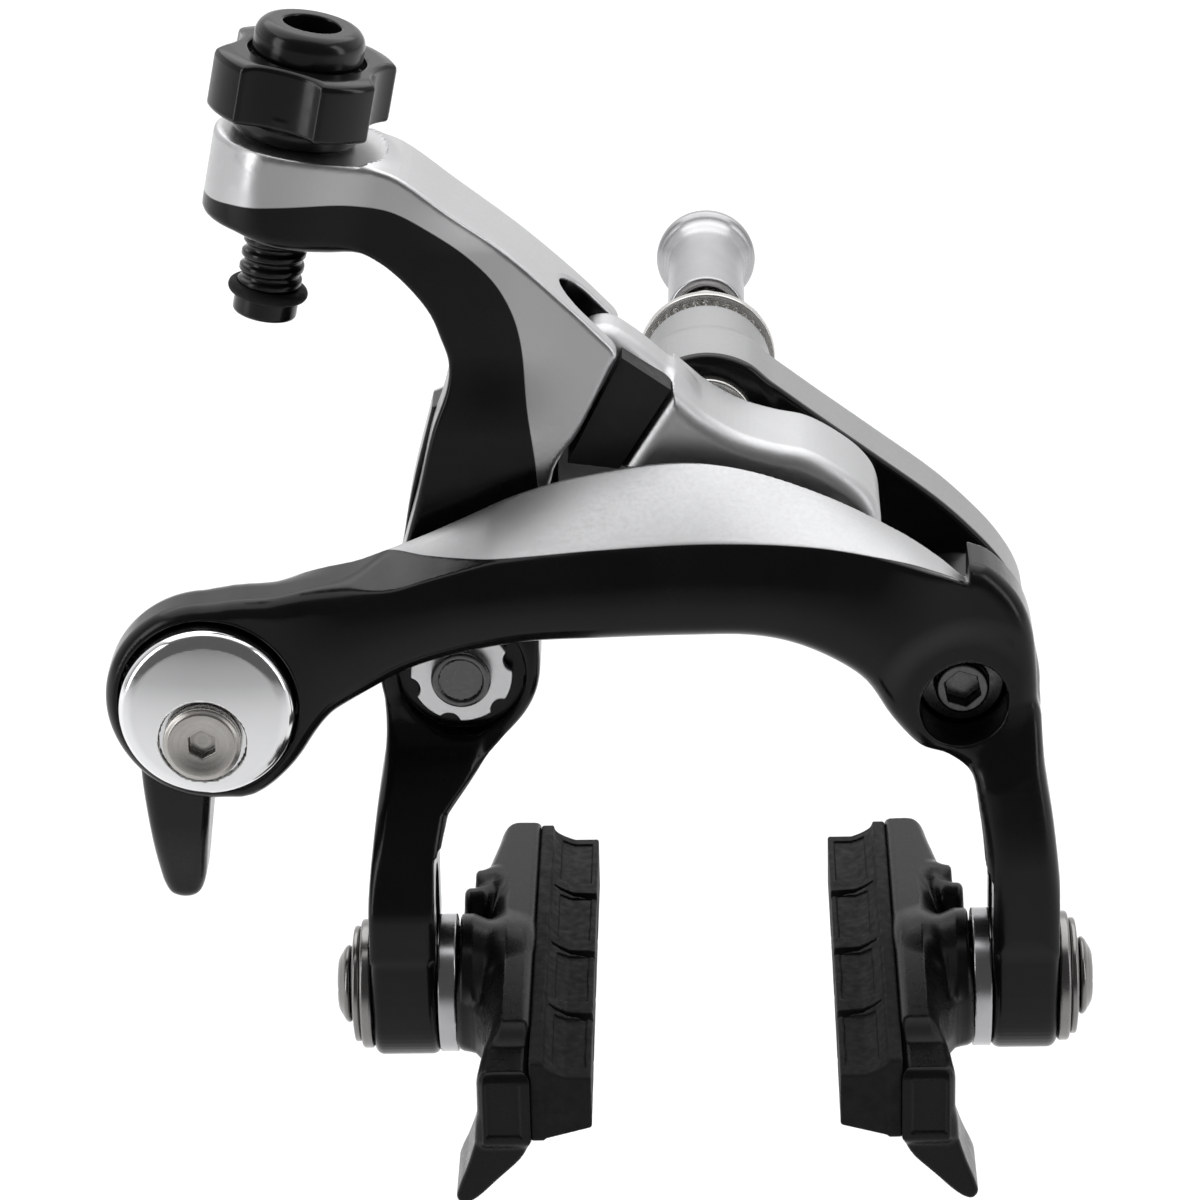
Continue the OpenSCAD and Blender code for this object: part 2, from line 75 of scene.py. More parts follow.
def span(t, lo, hi):
    return np.maximum(lo - t, t - hi)

def drum(u, v, t, cu, cv, r, lo, hi, e=0.2):
    return imax(disc(u, v, cu, cv, r), span(t, lo, hi), e)

def hexa(u, v, cu, cv, af, turn=0.0):
    u, v = u - cu, v - cv
    out = None
    for i in range(3):
        a = turn + i * math.pi / 3
        d = np.abs(u * math.cos(a) + v * math.sin(a)) - af / 2
        out = d if out is None else np.maximum(out, d)
    return out

def ring(u, v, t, cu, cv, ct, big, small):
    return np.sqrt(sq(np.sqrt(sq(u - cu) + sq(v - cv)) - big) + sq(t - ct)) - small

def lerp(v, xs, ys):
    return np.interp(v, xs, ys)

def ease(v, xs, ys):
    """Smooth curve through knots, monotone between them."""
    xs = np.array(xs, float); ys = np.array(ys, float)
    m = np.zeros(len(xs))
    m[1:-1] = (ys[2:] - ys[:-2]) / (xs[2:] - xs[:-2])
    m[0] = (ys[1] - ys[0]) / (xs[1] - xs[0]); m[-1] = (ys[-1] - ys[-2]) / (xs[-1] - xs[-2])
    v = np.minimum(np.maximum(v, xs[0]), xs[-1])
    k = np.clip(np.searchsorted(xs, v, side="right") - 1, 0, len(xs) - 2)
    h = xs[k + 1] - xs[k]; t = (v - xs[k]) / h
    return ((2 * t**3 - 3 * t**2 + 1) * ys[k] + (t**3 - 2 * t**2 + t) * h * m[k] + (-2 * t**3 + 3 * t**2) * ys[k + 1] + (t**3 - t**2) * h * m[k + 1])

def outline(pts, sub=6, closed=True):
    """Smooth line through points; a third value of 1 marks a corner."""
    P = [np.array(p[:2], float) for p in pts]
    C = [len(p) > 2 and p[2] == 1 for p in pts]
    n = len(P); out = []
    for i in range(n if closed else n - 1):
        p1, p2 = P[i], P[(i + 1) % n]
        p0 = P[i - 1] if (closed or i > 0) and not C[i] else 2 * p1 - p2
        p3 = P[(i + 2) % n] if (closed or i + 2 < n) and not C[(i + 1) % n] else 2 * p2 - p1
        if C[i] and C[(i + 1) % n]:
            out.append(p1)
            continue
        d0 = max(np.linalg.norm(p1 - p0), 1e-6) ** 0.5; d1 = max(np.linalg.norm(p2 - p1), 1e-6) ** 0.5; d2 = max(np.linalg.norm(p3 - p2), 1e-6) ** 0.5
        m1 = (p2 - p1) + d1 * ((p1 - p0) / d0 - (p2 - p0) / (d0 + d1))
        m2 = (p2 - p1) + d1 * ((p3 - p2) / d2 - (p3 - p1) / (d1 + d2))
        for s in range(sub):
            t = s / sub
            out.append((2 * t**3 - 3 * t**2 + 1) * p1 + (t**3 - 2 * t**2 + t) * m1 + (-2 * t**3 + 3 * t**2) * p2 + (t**3 - t**2) * m2)
    if not closed:
        out.append(P[-1])
    return np.array(out)

def poly(u, v, pts):
    """Signed distance to a closed outline."""
    shape = np.broadcast(u, v).shape
    uu = np.broadcast_to(u, shape).ravel(); vv = np.broadcast_to(v, shape).ravel()
    best = np.full(uu.shape, 1e9); inside = np.zeros(uu.shape, bool)
    n = len(pts)
    for i in range(n):
        ax, az = pts[i]; bx, bz = pts[(i + 1) % n]
        ex, ez = bx - ax, bz - az
        L = ex * ex + ez * ez
        if L < 1e-12:
            continue
        wx, wz = uu - ax, vv - az
        t = np.clip((wx * ex + wz * ez) / L, 0, 1)
        best = np.minimum(best, sq(wx - ex * t) + sq(wz - ez * t))
        if az != bz:
            c = (az > vv) != (bz > vv)
            xc = ax + (vv - az) * ex / ez
            inside ^= c & (uu < xc)
    d = np.sqrt(best)
    return np.where(inside, -d, d).reshape(shape)

def flat_poly(u, v, w, pts):
    """poly of u and v, worked out once where w only repeats it."""
    return poly(u, v, pts)

# ---------------------------------------------------------------- surface from a field
EDGES = [((0, 0, 0), (1, 0, 0)), ((0, 1, 0), (1, 1, 0)), ((0, 0, 1), (1, 0, 1)), ((0, 1, 1), (1, 1, 1)),
         ((0, 0, 0), (0, 1, 0)), ((1, 0, 0), (1, 1, 0)), ((0, 0, 1), (0, 1, 1)), ((1, 0, 1), (1, 1, 1)),
         ((0, 0, 0), (0, 0, 1)), ((1, 0, 0), (1, 0, 1)), ((0, 1, 0), (0, 1, 1)), ((1, 1, 0), (1, 1, 1))]

def skin(f, lo, hi, h):
    """Closed quad mesh of f = 0 in the box, with each point moved onto the surface."""
    axs = [np.arange(lo[i] - 1.5 * h, hi[i] + 2.5 * h, h) for i in range(3)]
    X, Y, Z = axs[0][:, None, None], axs[1][None, :, None], axs[2][None, None, :]
    F = np.asarray(f(X, Y, Z), dtype=np.float64)
    F = np.broadcast_to(F, (len(axs[0]), len(axs[1]), len(axs[2]))).copy()
    F[np.abs(F) < 1e-7] = 1e-7
    S = F < 0
    nx, ny, nz = F.shape
    cnt = np.zeros((nx - 1, ny - 1, nz - 1), np.int8)
    for a in (0, 1):
        for b in (0, 1):
            for c in (0, 1):
                cnt += S[a:nx - 1 + a, b:ny - 1 + b, c:nz - 1 + c]
    act = (cnt > 0) & (cnt < 8)
    idx = -np.ones(act.shape, np.int64)
    I, J, K = np.nonzero(act)
    idx[I, J, K] = np.arange(len(I))
    acc = np.zeros((len(I), 3)); num = np.zeros(len(I))
    for p, q in EDGES:
        a = F[I + p[0], J + p[1], K + p[2]]; b = F[I + q[0], J + q[1], K + q[2]]
        m = (a < 0) != (b < 0)
        t = np.where(m, a / np.where(m, a - b, 1), 0)
        for d in range(3):
            acc[:, d] += np.where(m, p[d] + t * (q[d] - p[d]), 0)
        num += m
    acc /= num[:, None]
    V = np.stack([axs[0][I], axs[1][J], axs[2][K]], 1) + acc * h
    quads = []
    for d in range(3):
        sl0 = [slice(None)] * 3; sl1 = [slice(None)] * 3
        sl0[d] = slice(0, -1); sl1[d] = slice(1, None)
        A = S[tuple(sl0)]; B = S[tuple(sl1)]
        ch = A != B
        e1, e2 = [(1, 2), (2, 0), (0, 1)][d]
        G = np.nonzero(ch)
        G = [g for g in G]
        ok = (G[e1] > 0) & (G[e2] > 0) & (G[e1] < act.shape[e1]) & (G[e2] < act.shape[e2])
        G = [g[ok] for g in G]
        flip = A[tuple(G)]
        def cell(o1, o2):
            g = [x.copy() for x in G]
            g[e1] = g[e1] - o1; g[e2] = g[e2] - o2
            return idx[tuple(g)]
        q = np.stack([cell(1, 1), cell(0, 1), cell(0, 0), cell(1, 0)], 1)
        q[~flip] = q[~flip][:, ::-1]
        quads.append(q)
    Q = np.concatenate(quads)
    def at(v):
        return np.asarray(f(v[:, 0], v[:, 1], v[:, 2]), dtype=np.float64)
    def grad(v, e=0.02):
        g = np.empty_like(v)
        for d in range(3):
            o = np.zeros(3); o[d] = e
            g[:, d] = (at(v + o) - at(v - o)) / (2 * e)
        return g
    for it in range(2):
        g = grad(V); n2 = np.maximum((g * g).sum(1), 0.2)
        step = at(V)[:, None] * g / n2[:, None]
        L = np.linalg.norm(step, axis=1); step *= np.minimum(1, 0.6 * h / np.maximum(L, 1e-9))[:, None]
        V = V - step
    g = grad(V, 0.03)
    N = g / np.maximum(np.linalg.norm(g, axis=1), 1e-9)[:, None]
    return V, Q, N

def to_object(name, V, Q, N=None, paint_and_shade=None):
    me = bpy.data.meshes.new(name)
    me.vertices.add(len(V)); me.vertices.foreach_set("co", (V * 0.001).astype(np.float32).ravel())
    me.loops.add(len(Q) * 4); me.loops.foreach_set("vertex_index", Q.astype(np.int32).ravel())
    me.polygons.add(len(Q)); me.polygons.foreach_set("loop_start", (np.arange(len(Q)) * 4).astype(np.int32))
    me.update(calc_edges=True); me.validate()
    me.polygons.foreach_set("use_smooth", np.ones(len(me.polygons), bool))
    if N is not None and len(N) == len(me.vertices):
        me.normals_split_custom_set_from_vertices([tuple(n) for n in N.astype(float)])
    if paint_and_shade is not None:
        at = me.attributes.new("paint_and_shade", "FLOAT", "POINT"); at.data.foreach_set("value", paint_and_shade.astype(np.float32))
    ob = bpy.data.objects.new(name, me)
    scene.collection.objects.link(ob)
    return ob

def make(name, f, lo, hi, h, body, mats, node=None, paint_and_shade=None, mirror=False):
    V, Q, N = skin(f, lo, hi, h)
    pv = paint_and_shade(V[:, 0], V[:, 1], V[:, 2]) if paint_and_shade else None
    if mirror:
        V = V * np.array([-1, 1, 1]); N = N * np.array([-1, 1, 1]); Q = Q[:, ::-1]
    ob = to_object(name, V, Q, N, pv)
    ob.data.materials.append(mats)
    if node:
        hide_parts(*([node] if isinstance(node, str) else node))
    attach(ob, body)
    return ob

# ---------------------------------------------------------------- materials
def new_mat(name):
    m = bpy.data.materials.new(name); m.use_nodes = True
    nt = m.node_tree
    return m, nt, nt.nodes["Principled BSDF"]

def link(nt, a, b):
    nt.links.new(a, b)

def noise(nt, scale, detail=4, rough=0.55, coord=None, stretch=None):
    tc = nt.nodes.new("ShaderNodeTexCoord")
    src = tc.outputs["Object"]
    if stretch:
        mp = nt.nodes.new("ShaderNodeMapping"); mp.inputs["Scale"].default_value = stretch
        link(nt, src, mp.inputs["Vector"]); src = mp.outputs["Vector"]
    n = nt.nodes.new("ShaderNodeTexNoise")
    n.inputs["Scale"].default_value = scale; n.inputs["Detail"].default_value = detail; n.inputs["Roughness"].default_value = rough
    link(nt, src, n.inputs["Vector"])
    return n.outputs["Fac"]

def ramp(nt, fac, stops):
    r = nt.nodes.new("ShaderNodeValToRGB")
    el = r.color_ramp.elements
    el[0].position, el[0].color = stops[0][0], (*stops[0][1], 1)
    el[1].position, el[1].color = stops[-1][0], (*stops[-1][1], 1)
    for p, c in stops[1:-1]:
        e = el.new(p); e.color = (*c, 1)
    link(nt, fac, r.inputs["Fac"])
    return r.outputs["Color"]

def remap(nt, fac, a, b, lo=0.3, hi=0.7):
    m = nt.nodes.new("ShaderNodeMapRange")
    m.inputs["From Min"].default_value = lo; m.inputs["From Max"].default_value = hi
    m.inputs["To Min"].default_value = a; m.inputs["To Max"].default_value = b
    link(nt, fac, m.inputs["Value"])
    return m.outputs["Result"]

def bump(nt, bsdf, fac, strength, dist, chain=None):
    b = nt.nodes.new("ShaderNodeBump")
    b.inputs["Strength"].default_value = strength; b.inputs["Distance"].default_value = dist
    link(nt, fac, b.inputs["Height"])
    if chain is not None:
        link(nt, chain, b.inputs["Normal"])
    link(nt, b.outputs["Normal"], bsdf.inputs["Normal"])
    return b.outputs["Normal"]

def mat_black(name, base=0.005, rough=(0.20, 0.30), coat=0.6, spec=0.26):
    m, nt, p = new_mat(name)
    n = noise(nt, 160, 5)
    link(nt, ramp(nt, n, [(0.3, (base * 0.8,) * 3), (0.7, (base * 1.25, base * 1.25, base * 1.35))]), p.inputs["Base Color"])
    link(nt, remap(nt, noise(nt, 900, 6), rough[0], rough[1]), p.inputs["Roughness"])
    p.inputs["Specular IOR Level"].default_value = spec
    p.inputs["Coat Weight"].default_value = coat * 0.15
    p.inputs["Coat Roughness"].default_value = 0.12
    c = bump(nt, p, noise(nt, 300, 2), 0.12, 0.00006)
    bump(nt, p, noise(nt, 2600, 3), 0.05, 0.00002, c)
    return m

def mat_silver(name, tone=0.60, rough=(0.30, 0.42), metal=1.0, grain=2600, bumpd=0.00003):
    m, nt, p = new_mat(name)
    n = noise(nt, 90, 4)
    link(nt, ramp(nt, n, [(0.3, (tone * 0.97, tone * 0.975, tone * 0.985)), (0.7, (tone * 1.03, tone * 1.035, tone * 1.045))]), p.inputs["Base Color"])
    link(nt, remap(nt, noise(nt, grain, 4), rough[0], rough[1]), p.inputs["Roughness"])
    p.inputs["Metallic"].default_value = metal
    bump(nt, p, noise(nt, grain, 3), 0.25, bumpd)
    return m

# silver where the attribute is below zero, gloss black above it; the black is two-tone paint on the arms and link, and
# painted shade on the bracket front
def mat_two_tone_and_shade(name, tone=0.66, base=0.005, rough=(0.30, 0.42)):
    m, nt, p = new_mat(name)
    at = nt.nodes.new("ShaderNodeAttribute"); at.attribute_name = "paint_and_shade"
    edge = nt.nodes.new("ShaderNodeMapRange")
    edge.inputs["From Min"].default_value = -0.06; edge.inputs["From Max"].default_value = 0.06
    link(nt, at.outputs["Fac"], edge.inputs["Value"])
    k = edge.outputs["Result"]
    sc = ramp(nt, noise(nt, 90, 4), [(0.3, (tone * 0.97, tone * 0.975, tone * 0.985)), (0.7, (tone * 1.03, tone * 1.035, tone * 1.045))])
    bc = ramp(nt, noise(nt, 160, 5), [(0.3, (base * 0.8,) * 3), (0.7, (base * 1.25, base * 1.25, base * 1.35))])
    mx = nt.nodes.new("ShaderNodeMix"); mx.data_type = "RGBA"
    link(nt, k, mx.inputs["Factor"]); link(nt, sc, mx.inputs["A"]); link(nt, bc, mx.inputs["B"])
    link(nt, mx.outputs["Result"], p.inputs["Base Color"])
    inv = nt.nodes.new("ShaderNodeMath"); inv.operation = "SUBTRACT"; inv.inputs[0].default_value = 1.0
    link(nt, k, inv.inputs[1]); link(nt, inv.outputs[0], p.inputs["Metallic"])
    rs = remap(nt, noise(nt, 2600, 4), rough[0], rough[1]); rb = remap(nt, noise(nt, 900, 6), 0.16, 0.24)
    mr = nt.nodes.new("ShaderNodeMix")
    link(nt, k, mr.inputs["Factor"]); link(nt, rs, mr.inputs["A"]); link(nt, rb, mr.inputs["B"])
    link(nt, mr.outputs["Result"], p.inputs["Roughness"])
    p.inputs["Specular IOR Level"].default_value = 0.22
    bump(nt, p, noise(nt, 2600, 3), 0.2, 0.00002)
    return m

def mat_turned(name, tone=(0.62, 0.61, 0.58), axis="Y", centre=(0, 0, 0), rough=(0.22, 0.36), pitch=9000, strength=0.3):
    """Metal with fine turning marks in rings round an axis."""
    m, nt, p = new_mat(name)
    tc = nt.nodes.new("ShaderNodeTexCoord")
    mp = nt.nodes.new("ShaderNodeMapping"); mp.vector_type = "POINT"
    mp.inputs["Location"].default_value = [-c * 0.001 for c in centre]
    mp.inputs["Scale"].default_value = {"X": (0.15, 1, 1), "Y": (1, 0.15, 1), "Z": (1, 1, 0.15)}[axis]
    link(nt, tc.outputs["Object"], mp.inputs["Vector"])
    w = nt.nodes.new("ShaderNodeTexWave"); w.wave_type = "RINGS"; w.rings_direction = axis
    w.inputs["Scale"].default_value = pitch / 6.0; w.inputs["Distortion"].default_value = 1.2; w.inputs["Detail"].default_value = 2
    w.inputs["Detail Scale"].default_value = 4
    link(nt, mp.outputs["Vector"], w.inputs["Vector"])
    link(nt, ramp(nt, noise(nt, 400, 4), [(0.3, tuple(t * 0.94 for t in tone)), (0.7, tuple(min(t * 1.05, 1) for t in tone))]), p.inputs["Base Color"])
    link(nt, remap(nt, w.outputs["Fac"], rough[0], rough[1], 0, 1), p.inputs["Roughness"])
    p.inputs["Metallic"].default_value = 1.0
    bump(nt, p, w.outputs["Fac"], strength, 0.000006)
    return m

def mat_rubber(name, base=0.014):
    m, nt, p = new_mat(name)
    link(nt, ramp(nt, noise(nt, 700, 6, 0.7), [(0.25, (base * 0.7,) * 3), (0.6, (base * 1.1,) * 3), (0.8, (base * 1.9, base * 1.8, base * 1.7))]), p.inputs["Base Color"])
    link(nt, remap(nt, noise(nt, 1200, 5), 0.55, 0.78), p.inputs["Roughness"])
    p.inputs["Specular IOR Level"].default_value = 0.2
    c = bump(nt, p, noise(nt, 3000, 4, 0.6), 0.25, 0.00003)
    bump(nt, p, noise(nt, 900, 2), 0.05, 0.00003, c)
    return m

BLACK = mat_black("gloss_black")
BLACK_ARM = mat_two_tone_and_shade("arm_two_tone", 0.56)
FRONT_ARM = mat_two_tone_and_shade("front_arm_two_tone", 0.46, rough=(0.40, 0.50))
LEVER = mat_two_tone_and_shade("lever_two_tone", 0.52, rough=(0.40, 0.50))
HOLDER = mat_black("holder_black", 0.005, (0.24, 0.34), 0.1, 0.16)
KNOB = mat_black("knob_black", 0.005, (0.16, 0.26), 0.7)
# bracket silver, with its front face coloured black as painted shade
GREY = mat_two_tone_and_shade("bracket_silver_with_painted_shade", 0.36, rough=(0.38, 0.48))
STEEL = mat_turned("plain_steel", (0.60, 0.59, 0.57), "Y")
NUTM = mat_turned("nut_satin", (0.42, 0.42, 0.43), "Y", (0, 0, 0), (0.26, 0.38), 6000)
DISC = mat_silver("disc_polished", 0.80, (0.10, 0.16), 1.0, 1500, 0.000006)
RUBBER = mat_rubber("pad_rubber", 0.007)
ORING = mat_rubber("o_ring_rubber", 0.008)
BLOCKM = mat_black("block_matt", 0.012, (0.45, 0.6), 0.0)
RINGM = mat_silver("lock_ring_satin", 0.72, (0.30, 0.40))
BOLTB = mat_silver("bolt_dark", 0.12, (0.24, 0.36), 1.0, 2000)
CBOLT = mat_turned("cable_bolt_turned", (0.42, 0.405, 0.385), "Y", (CX, 0, CZ), (0.26, 0.36), 3000, 0.15)
CLAMP = mat_silver("clamp_steel", 0.34, (0.30, 0.42), 1.0, 2200)
SBOLT = {}; WASH = {}; SPAC = {}
for side in ("left", "right"):
    SBOLT[side] = mat_turned(side + "_bolt_steel", (0.20, 0.195, 0.19), "X", (0, SY, SZ), (0.22, 0.32), 4000, 0.15)
    WASH[side] = mat_turned(side + "_washer_steel", (0.24, 0.235, 0.23), "X", (0, SY, SZ), (0.22, 0.34), 5000, 0.2)
    SPAC[side] = mat_turned(side + "_spacer_alloy", (0.46, 0.46, 0.47), "X", (0, SY, SZ), (0.24, 0.36), 5000, 0.2)

# ---------------------------------------------------------------- front arm
C_OUT = outline([(-46.3, -10.3), (-40, -8.4), (-34.1, -7.4), (-31, -6.3), (-27, -4.7), (-23, -2.9), (-16.7, -0.1), (-10.5, 1.4), (-2.2, 2.3), (6, 0.9),
    (15.5, -3.0), (20, -4.9), (24.9, -6.3, 1), (26.4, -6.9), (27.9, -8.2), (29.5, -10.3), (30.6, -13.1), (31.2, -17.9), (31.5, -26.5),
    (32.4, -33), (33.2, -41), (33.4, -46, 1), (27.1, -46, 1), (26.9, -40), (26.5, -34), (25.6, -28.9), (22.7, -26.1), (20, -24.9), (17.3, -21.9), (14.8, -17.7), (11.9, -15.4), (7.8, -13.4),
    (3.8, -12.5), (-2.4, -12.4), (-10.7, -12.6), (-16.9, -12.9), (-23.1, -14.1), (-28.6, -15.9), (-32.7, -18.3), (-38.4, -22.2), (-41.2, -25.3), (-45, -27.8), (-48, -22)], 5)
KX = [-38.5, -31, -27, -23, -20, -10, 0, 10, 18, 22, 24.6]

def crease(x):
    yc = ease(x, KX, [-36, -36, -39.5, -42, -43.2, -43.8, -43.9, -43.6, -42.9, -42.2, -41.4])
    zc = ease(x, KX, [-6.9, -6.2, -5.5, -4.9, -4.5, -3.5, -3.0, -3.6, -5.4, -6.9, -8.3])
    sl = ease(x, KX, [0.2, 0.2, 0.27, 0.32, 0.41, 0.6, 0.61, 0.33, 0.04, -0.15, -0.33])
    return yc, zc, sl

def lens(x, y, z):
    """Height above the sloped face, and the way along it from the crease."""
    yc, zc, sl = crease(x)
    uy = 1 / np.sqrt(1 + sq(sl)); uz = sl * uy
    L = np.maximum((-35.4 - yc) / uy, 0.5)
    h = (z - zc) * uy - (y - yc) * uz
    t = (y - yc) * uy + (z - zc) * uz
    k = clamp01(t / L)
    return h - 1.0 * k * (1 - k) * clamp01(L / 8), t, L

def c_front(x, z):
    f = ease(x, [-58, -48, -38, -29, -16, -1, 12, 20, 26, 34], [-42.8, -43.2, -43.6, -44.3, -45.2, -45.4, -44.9, -43.8, -42.4, -41.6])
    leg = smooth(-z, 23, 37)
    return f * (1 - leg) + (-44.5) * leg

LEG_Y = outline([(-44.5, -52), (-44.45, -44), (-44.1, -39), (-43.2, -33), (-42.2, -27), (-40, -22, 1), (-33.4, -22, 1), (-32.9, -28), (-32.1, -34), (-31.5, -42), (-31.5, -52),
    (-32.4, -55.3), (-34.8, -57.7), (-38, -58.5), (-41.2, -57.7), (-43.6, -55.3)], 5)
LEG_X = outline([(28.5, -20, 1), (31.0, -20, 1), (31.5, -27), (32.4, -33), (33.2, -41), (33.45, -48), (33.45, -59, 1), (26.95, -59, 1), (26.95, -41), (26.5, -34), (25.9, -29.5)], 5)

def c_arm(x, y, z):
    d2 = poly(x, z, C_OUT)
    eye = disc(x, z, QX, QZ, 9.95)
    d2 = umin(d2, eye, 2.4)
    _, zc, _ = crease(x)
    zb = ease(x, [-42, -32, -23, -10, 0, 8, 15, 20, 26], [-25, -18, -14, -12.6, -12.4, -13.4, -17.7, -24.9, -28])
    yf = c_front(x, z)
    mid = 0.42 * zc + 0.58 * zb
    t = (z - mid) / np.maximum(zc - mid, 1)
    belly = 1.5 * sq(np.clip(t, -1.4, 1.4))
    body_only = smooth(x, -44, -34) * (1 - smooth(x, 14, 22))
    dish = 0.9 * smooth(disc(x, z, PX, PZ, 0.0), 9.5, 6.0)
    front = (yf + belly * body_only + dish) - y
    rear = y + 35.25
    far = smooth(x, -46, -35)
    d = imax(d2, rear, 0.7) * far + imax(d2, rear, 3.4) * (1 - far)
    d = imax(d, front, 1.9)
    h, _, _ = lens(x, y, z)
    d = cut(d, np.maximum(np.maximum(-h, x - 24.55), -38.4 - x), 0.22)
    boss = drum(x, z, y, PX, PZ, 7.25, -37, -20.45, 0.8)
    d = umin(d, boss, 1.2)
    leg = imax(poly(y, z, LEG_Y), poly(x, z, LEG_X), 1.0)
    d = umin(d, leg, 1.6)
    return c_cuts(d, x, y, z)

def slot_cut(d, x, y, z):
    s = np.sqrt(sq(y - SY) + sq(z - np.clip(z, -51.8, -42))) - 3.2
    d = cut(d, s, 0.35)
    # flat seats for the washers and the spacer over the whole slot
    ax = np.abs(x)
    s = np.sqrt(sq(y - SY) + sq(z - np.clip(z, -51.6, -42.2)))
    d = cut(d, np.maximum(s - 6.6, 33.47 - ax), 0.05)
    return cut(d, np.maximum(s - 7.0, np.maximum(ax - 27.02, 24.5 - ax)), 0.05)

def c_cuts(d, x, y, z):
    rec = np.maximum(disc(x, z, PX, PZ, 4.25), y + 35.6)
    d = cut(d, rec, 0.25)
    d = cut(d, disc(x, z, PX, PZ, 3.62) + 0 * y, 0.3)
    d = cut(d, np.maximum(disc(x, z, QX, QZ, 8.62), y + 41.0), 0.5)
    d = cut(d, disc(x, z, QX, QZ, 4.05) + 0 * y, 0.2)
    d = np.where(x > 20, slot_cut(d, x, y, z), d)
    return d

def c_paint(x, y, z):
    h, t, L = lens(x, y, z)
    return np.maximum(np.maximum(np.maximum(0.18 - t, t - L - 0.1), -31.2 - x), np.maximum(np.abs(h) - 0.45, x - 24.6))

make("front_arm", c_arm, (-58.2, -45.8, -58.8), (33.8, -20.2, 3), 0.3, "c_arm", FRONT_ARM, "c_arm", c_paint)

# ---------------------------------------------------------------- arm with the adjuster
Y_ALL = outline([(-41, 32.2), (-33.5, 31.2), (-30.8, 30.8), (-28.6, 29.9), (-23.6, 26), (-17, 20.7), (-10.2, 14.2), (-8.5, 12.0), (-9.2, 10.4), (-12.3, 4.1), (-14.7, 0.4), (-15.8, -8), (-16.4, -15.4),
    (-17.2, -22), (-19.6, -26.4), (-22.8, -29.6), (-26.0, -33.2, 1), (-26.9, -37.5), (-27.0, -46, 1), (-33.4, -46, 1), (-33.2, -40), (-32.4, -33), (-31.5, -28.0), (-31.6, -24.5), (-32.2, -20),
    (-31.2, -15), (-30, -10), (-27.9, -2.3), (-26.3, 4.3), (-24.7, 8.8), (-24.5, 11.4), (-25.2, 13.8), (-26.1, 16.2), (-27.9, 18.8), (-30.2, 21.1), (-32.6, 22.6), (-36, 23.8), (-41, 24.4)], 5)
LEGL_Y = outline([(-44.5, -52), (-44.45, -45), (-44.1, -41), (-42.6, -37), (-39.6, -33), (-36.2, -29.4), (-33.6, -26.4), (-32.6, -23.5), (-30, -22, 1), (-27.5, -24), (-28.3, -29), (-30, -34), (-31.3, -39), (-31.5, -44), (-31.5, -52),
    (-32.4, -55.3), (-34.8, -57.7), (-38, -58.5), (-41.2, -57.7), (-43.6, -55.3)], 5)
LEGL_X = outline([(-31.2, -20, 1), (-22.5, -20, 1), (-22.6, -28.6), (-25.9, -32.9, 1), (-26.95, -37), (-26.95, -59, 1), (-33.45, -59, 1), (-33.4, -46), (-33.1, -40), (-32.3, -33), (-31.4, -27)], 5)

def onax(x, y, z):
    s, c = math.sin(LEAN), math.cos(LEAN)
    u = (x - ADJ[0]) * c - (z - ADJ[2]) * s
    w = (x - ADJ[0]) * s + (z - ADJ[2]) * c
    return u, y - ADJ[1], w

def pocket(x, y, z):
    al = (x + 14.4) * 0.72 - (z - 18.4) * 0.69
    dp = (x + 14.4) * 0.69 + (z - 18.4) * 0.72
    mouth = np.sqrt(sq(al - np.clip(al, 4.4, 30)) + sq(y + 26.9)) - 3.4
    pk = np.maximum(mouth, -6.2 - dp)
    return np.maximum(pk, 6.2 - z + 0.35 * (-x - 9))

def y_arm(x, y, z):
    all2 = poly(x, z, Y_ALL)
    k = smooth(-z, 24.5, 42)
    fr = -32.75 - 11.7 * k
    re = -20.5 - 5.95 * smooth(-z, -10.5, -6.0) - 5.0 * smooth(-z, 26, 40)
    hollow = 0.8 * np.exp(-sq((x + 20.5) / 5.0)) * smooth(z, 4, 12) * (1 - smooth(z, 22, 28))
    d = imax(all2, fr + hollow - y, 0.55)
    d = imax(d, y - re, 0.7)
    u, v, w = onax(x, y, z)
    head = imax(disc(u, v, 0, 0, 7.55), span(w, -4.25, 4.25), 0.7)
    d = umin(d, head, 3.0)
    boss = drum(x, z, y, -PX, PZ, 7.45, -32.75, -26.45, 0.9)
    d = umin(d, boss, 0.8)
    leg = imax(poly(y, z, LEGL_Y), poly(x, z, LEGL_X), 0.9)
    d = umin(d, leg, 1.0)
    d = imax(d, np.where(disc(u, v, 0, 0, 9.0) < 0, w - 4.25, -20.0), 0.2)
    # pocket that the tip of the link sits in
    pk = pocket(x, y, z)
    d = cut(d, pk, 0.55)
    d = cut(d, disc(u, v, 0, 0, 3.15) + 0 * w, 0.25)
    d = cut(d, disc(x, z, -PX, PZ, 3.6) + 0 * y, 0.1)
    d = cut(d, np.maximum(disc(x, z, -PX, PZ, 6.2), y + 31.75), 0.5)
    d = np.where(x < -20, slot_cut(d, x, y, z), d)
    return d

Y_SILVER = outline([(-52, 27.4, 1), (-46.7, 27.5), (-40, 27.8), (-35, 27.7), (-32.2, 27.3), (-29.2, 26.6), (-25.4, 24.3), (-22.1, 21.6), (-19.7, 18.9), (-18.2, 15.9), (-17.5, 12.8), (-17.1, 6.6),
    (-16.4, 0.7), (-15.9, -6, 1), (0, -6, 1), (0, 45, 1), (-52, 45, 1)], 5)

def y_paint(x, y, z):
    return np.maximum(poly(x, z, Y_SILVER), 0.1 - pocket(x, y, z))

make("adjuster_arm", y_arm, (-47.3, -44.8, -58.8), (-8, -18.8, 34.2), 0.3, "y_arm", BLACK_ARM, "y_arm", y_paint)

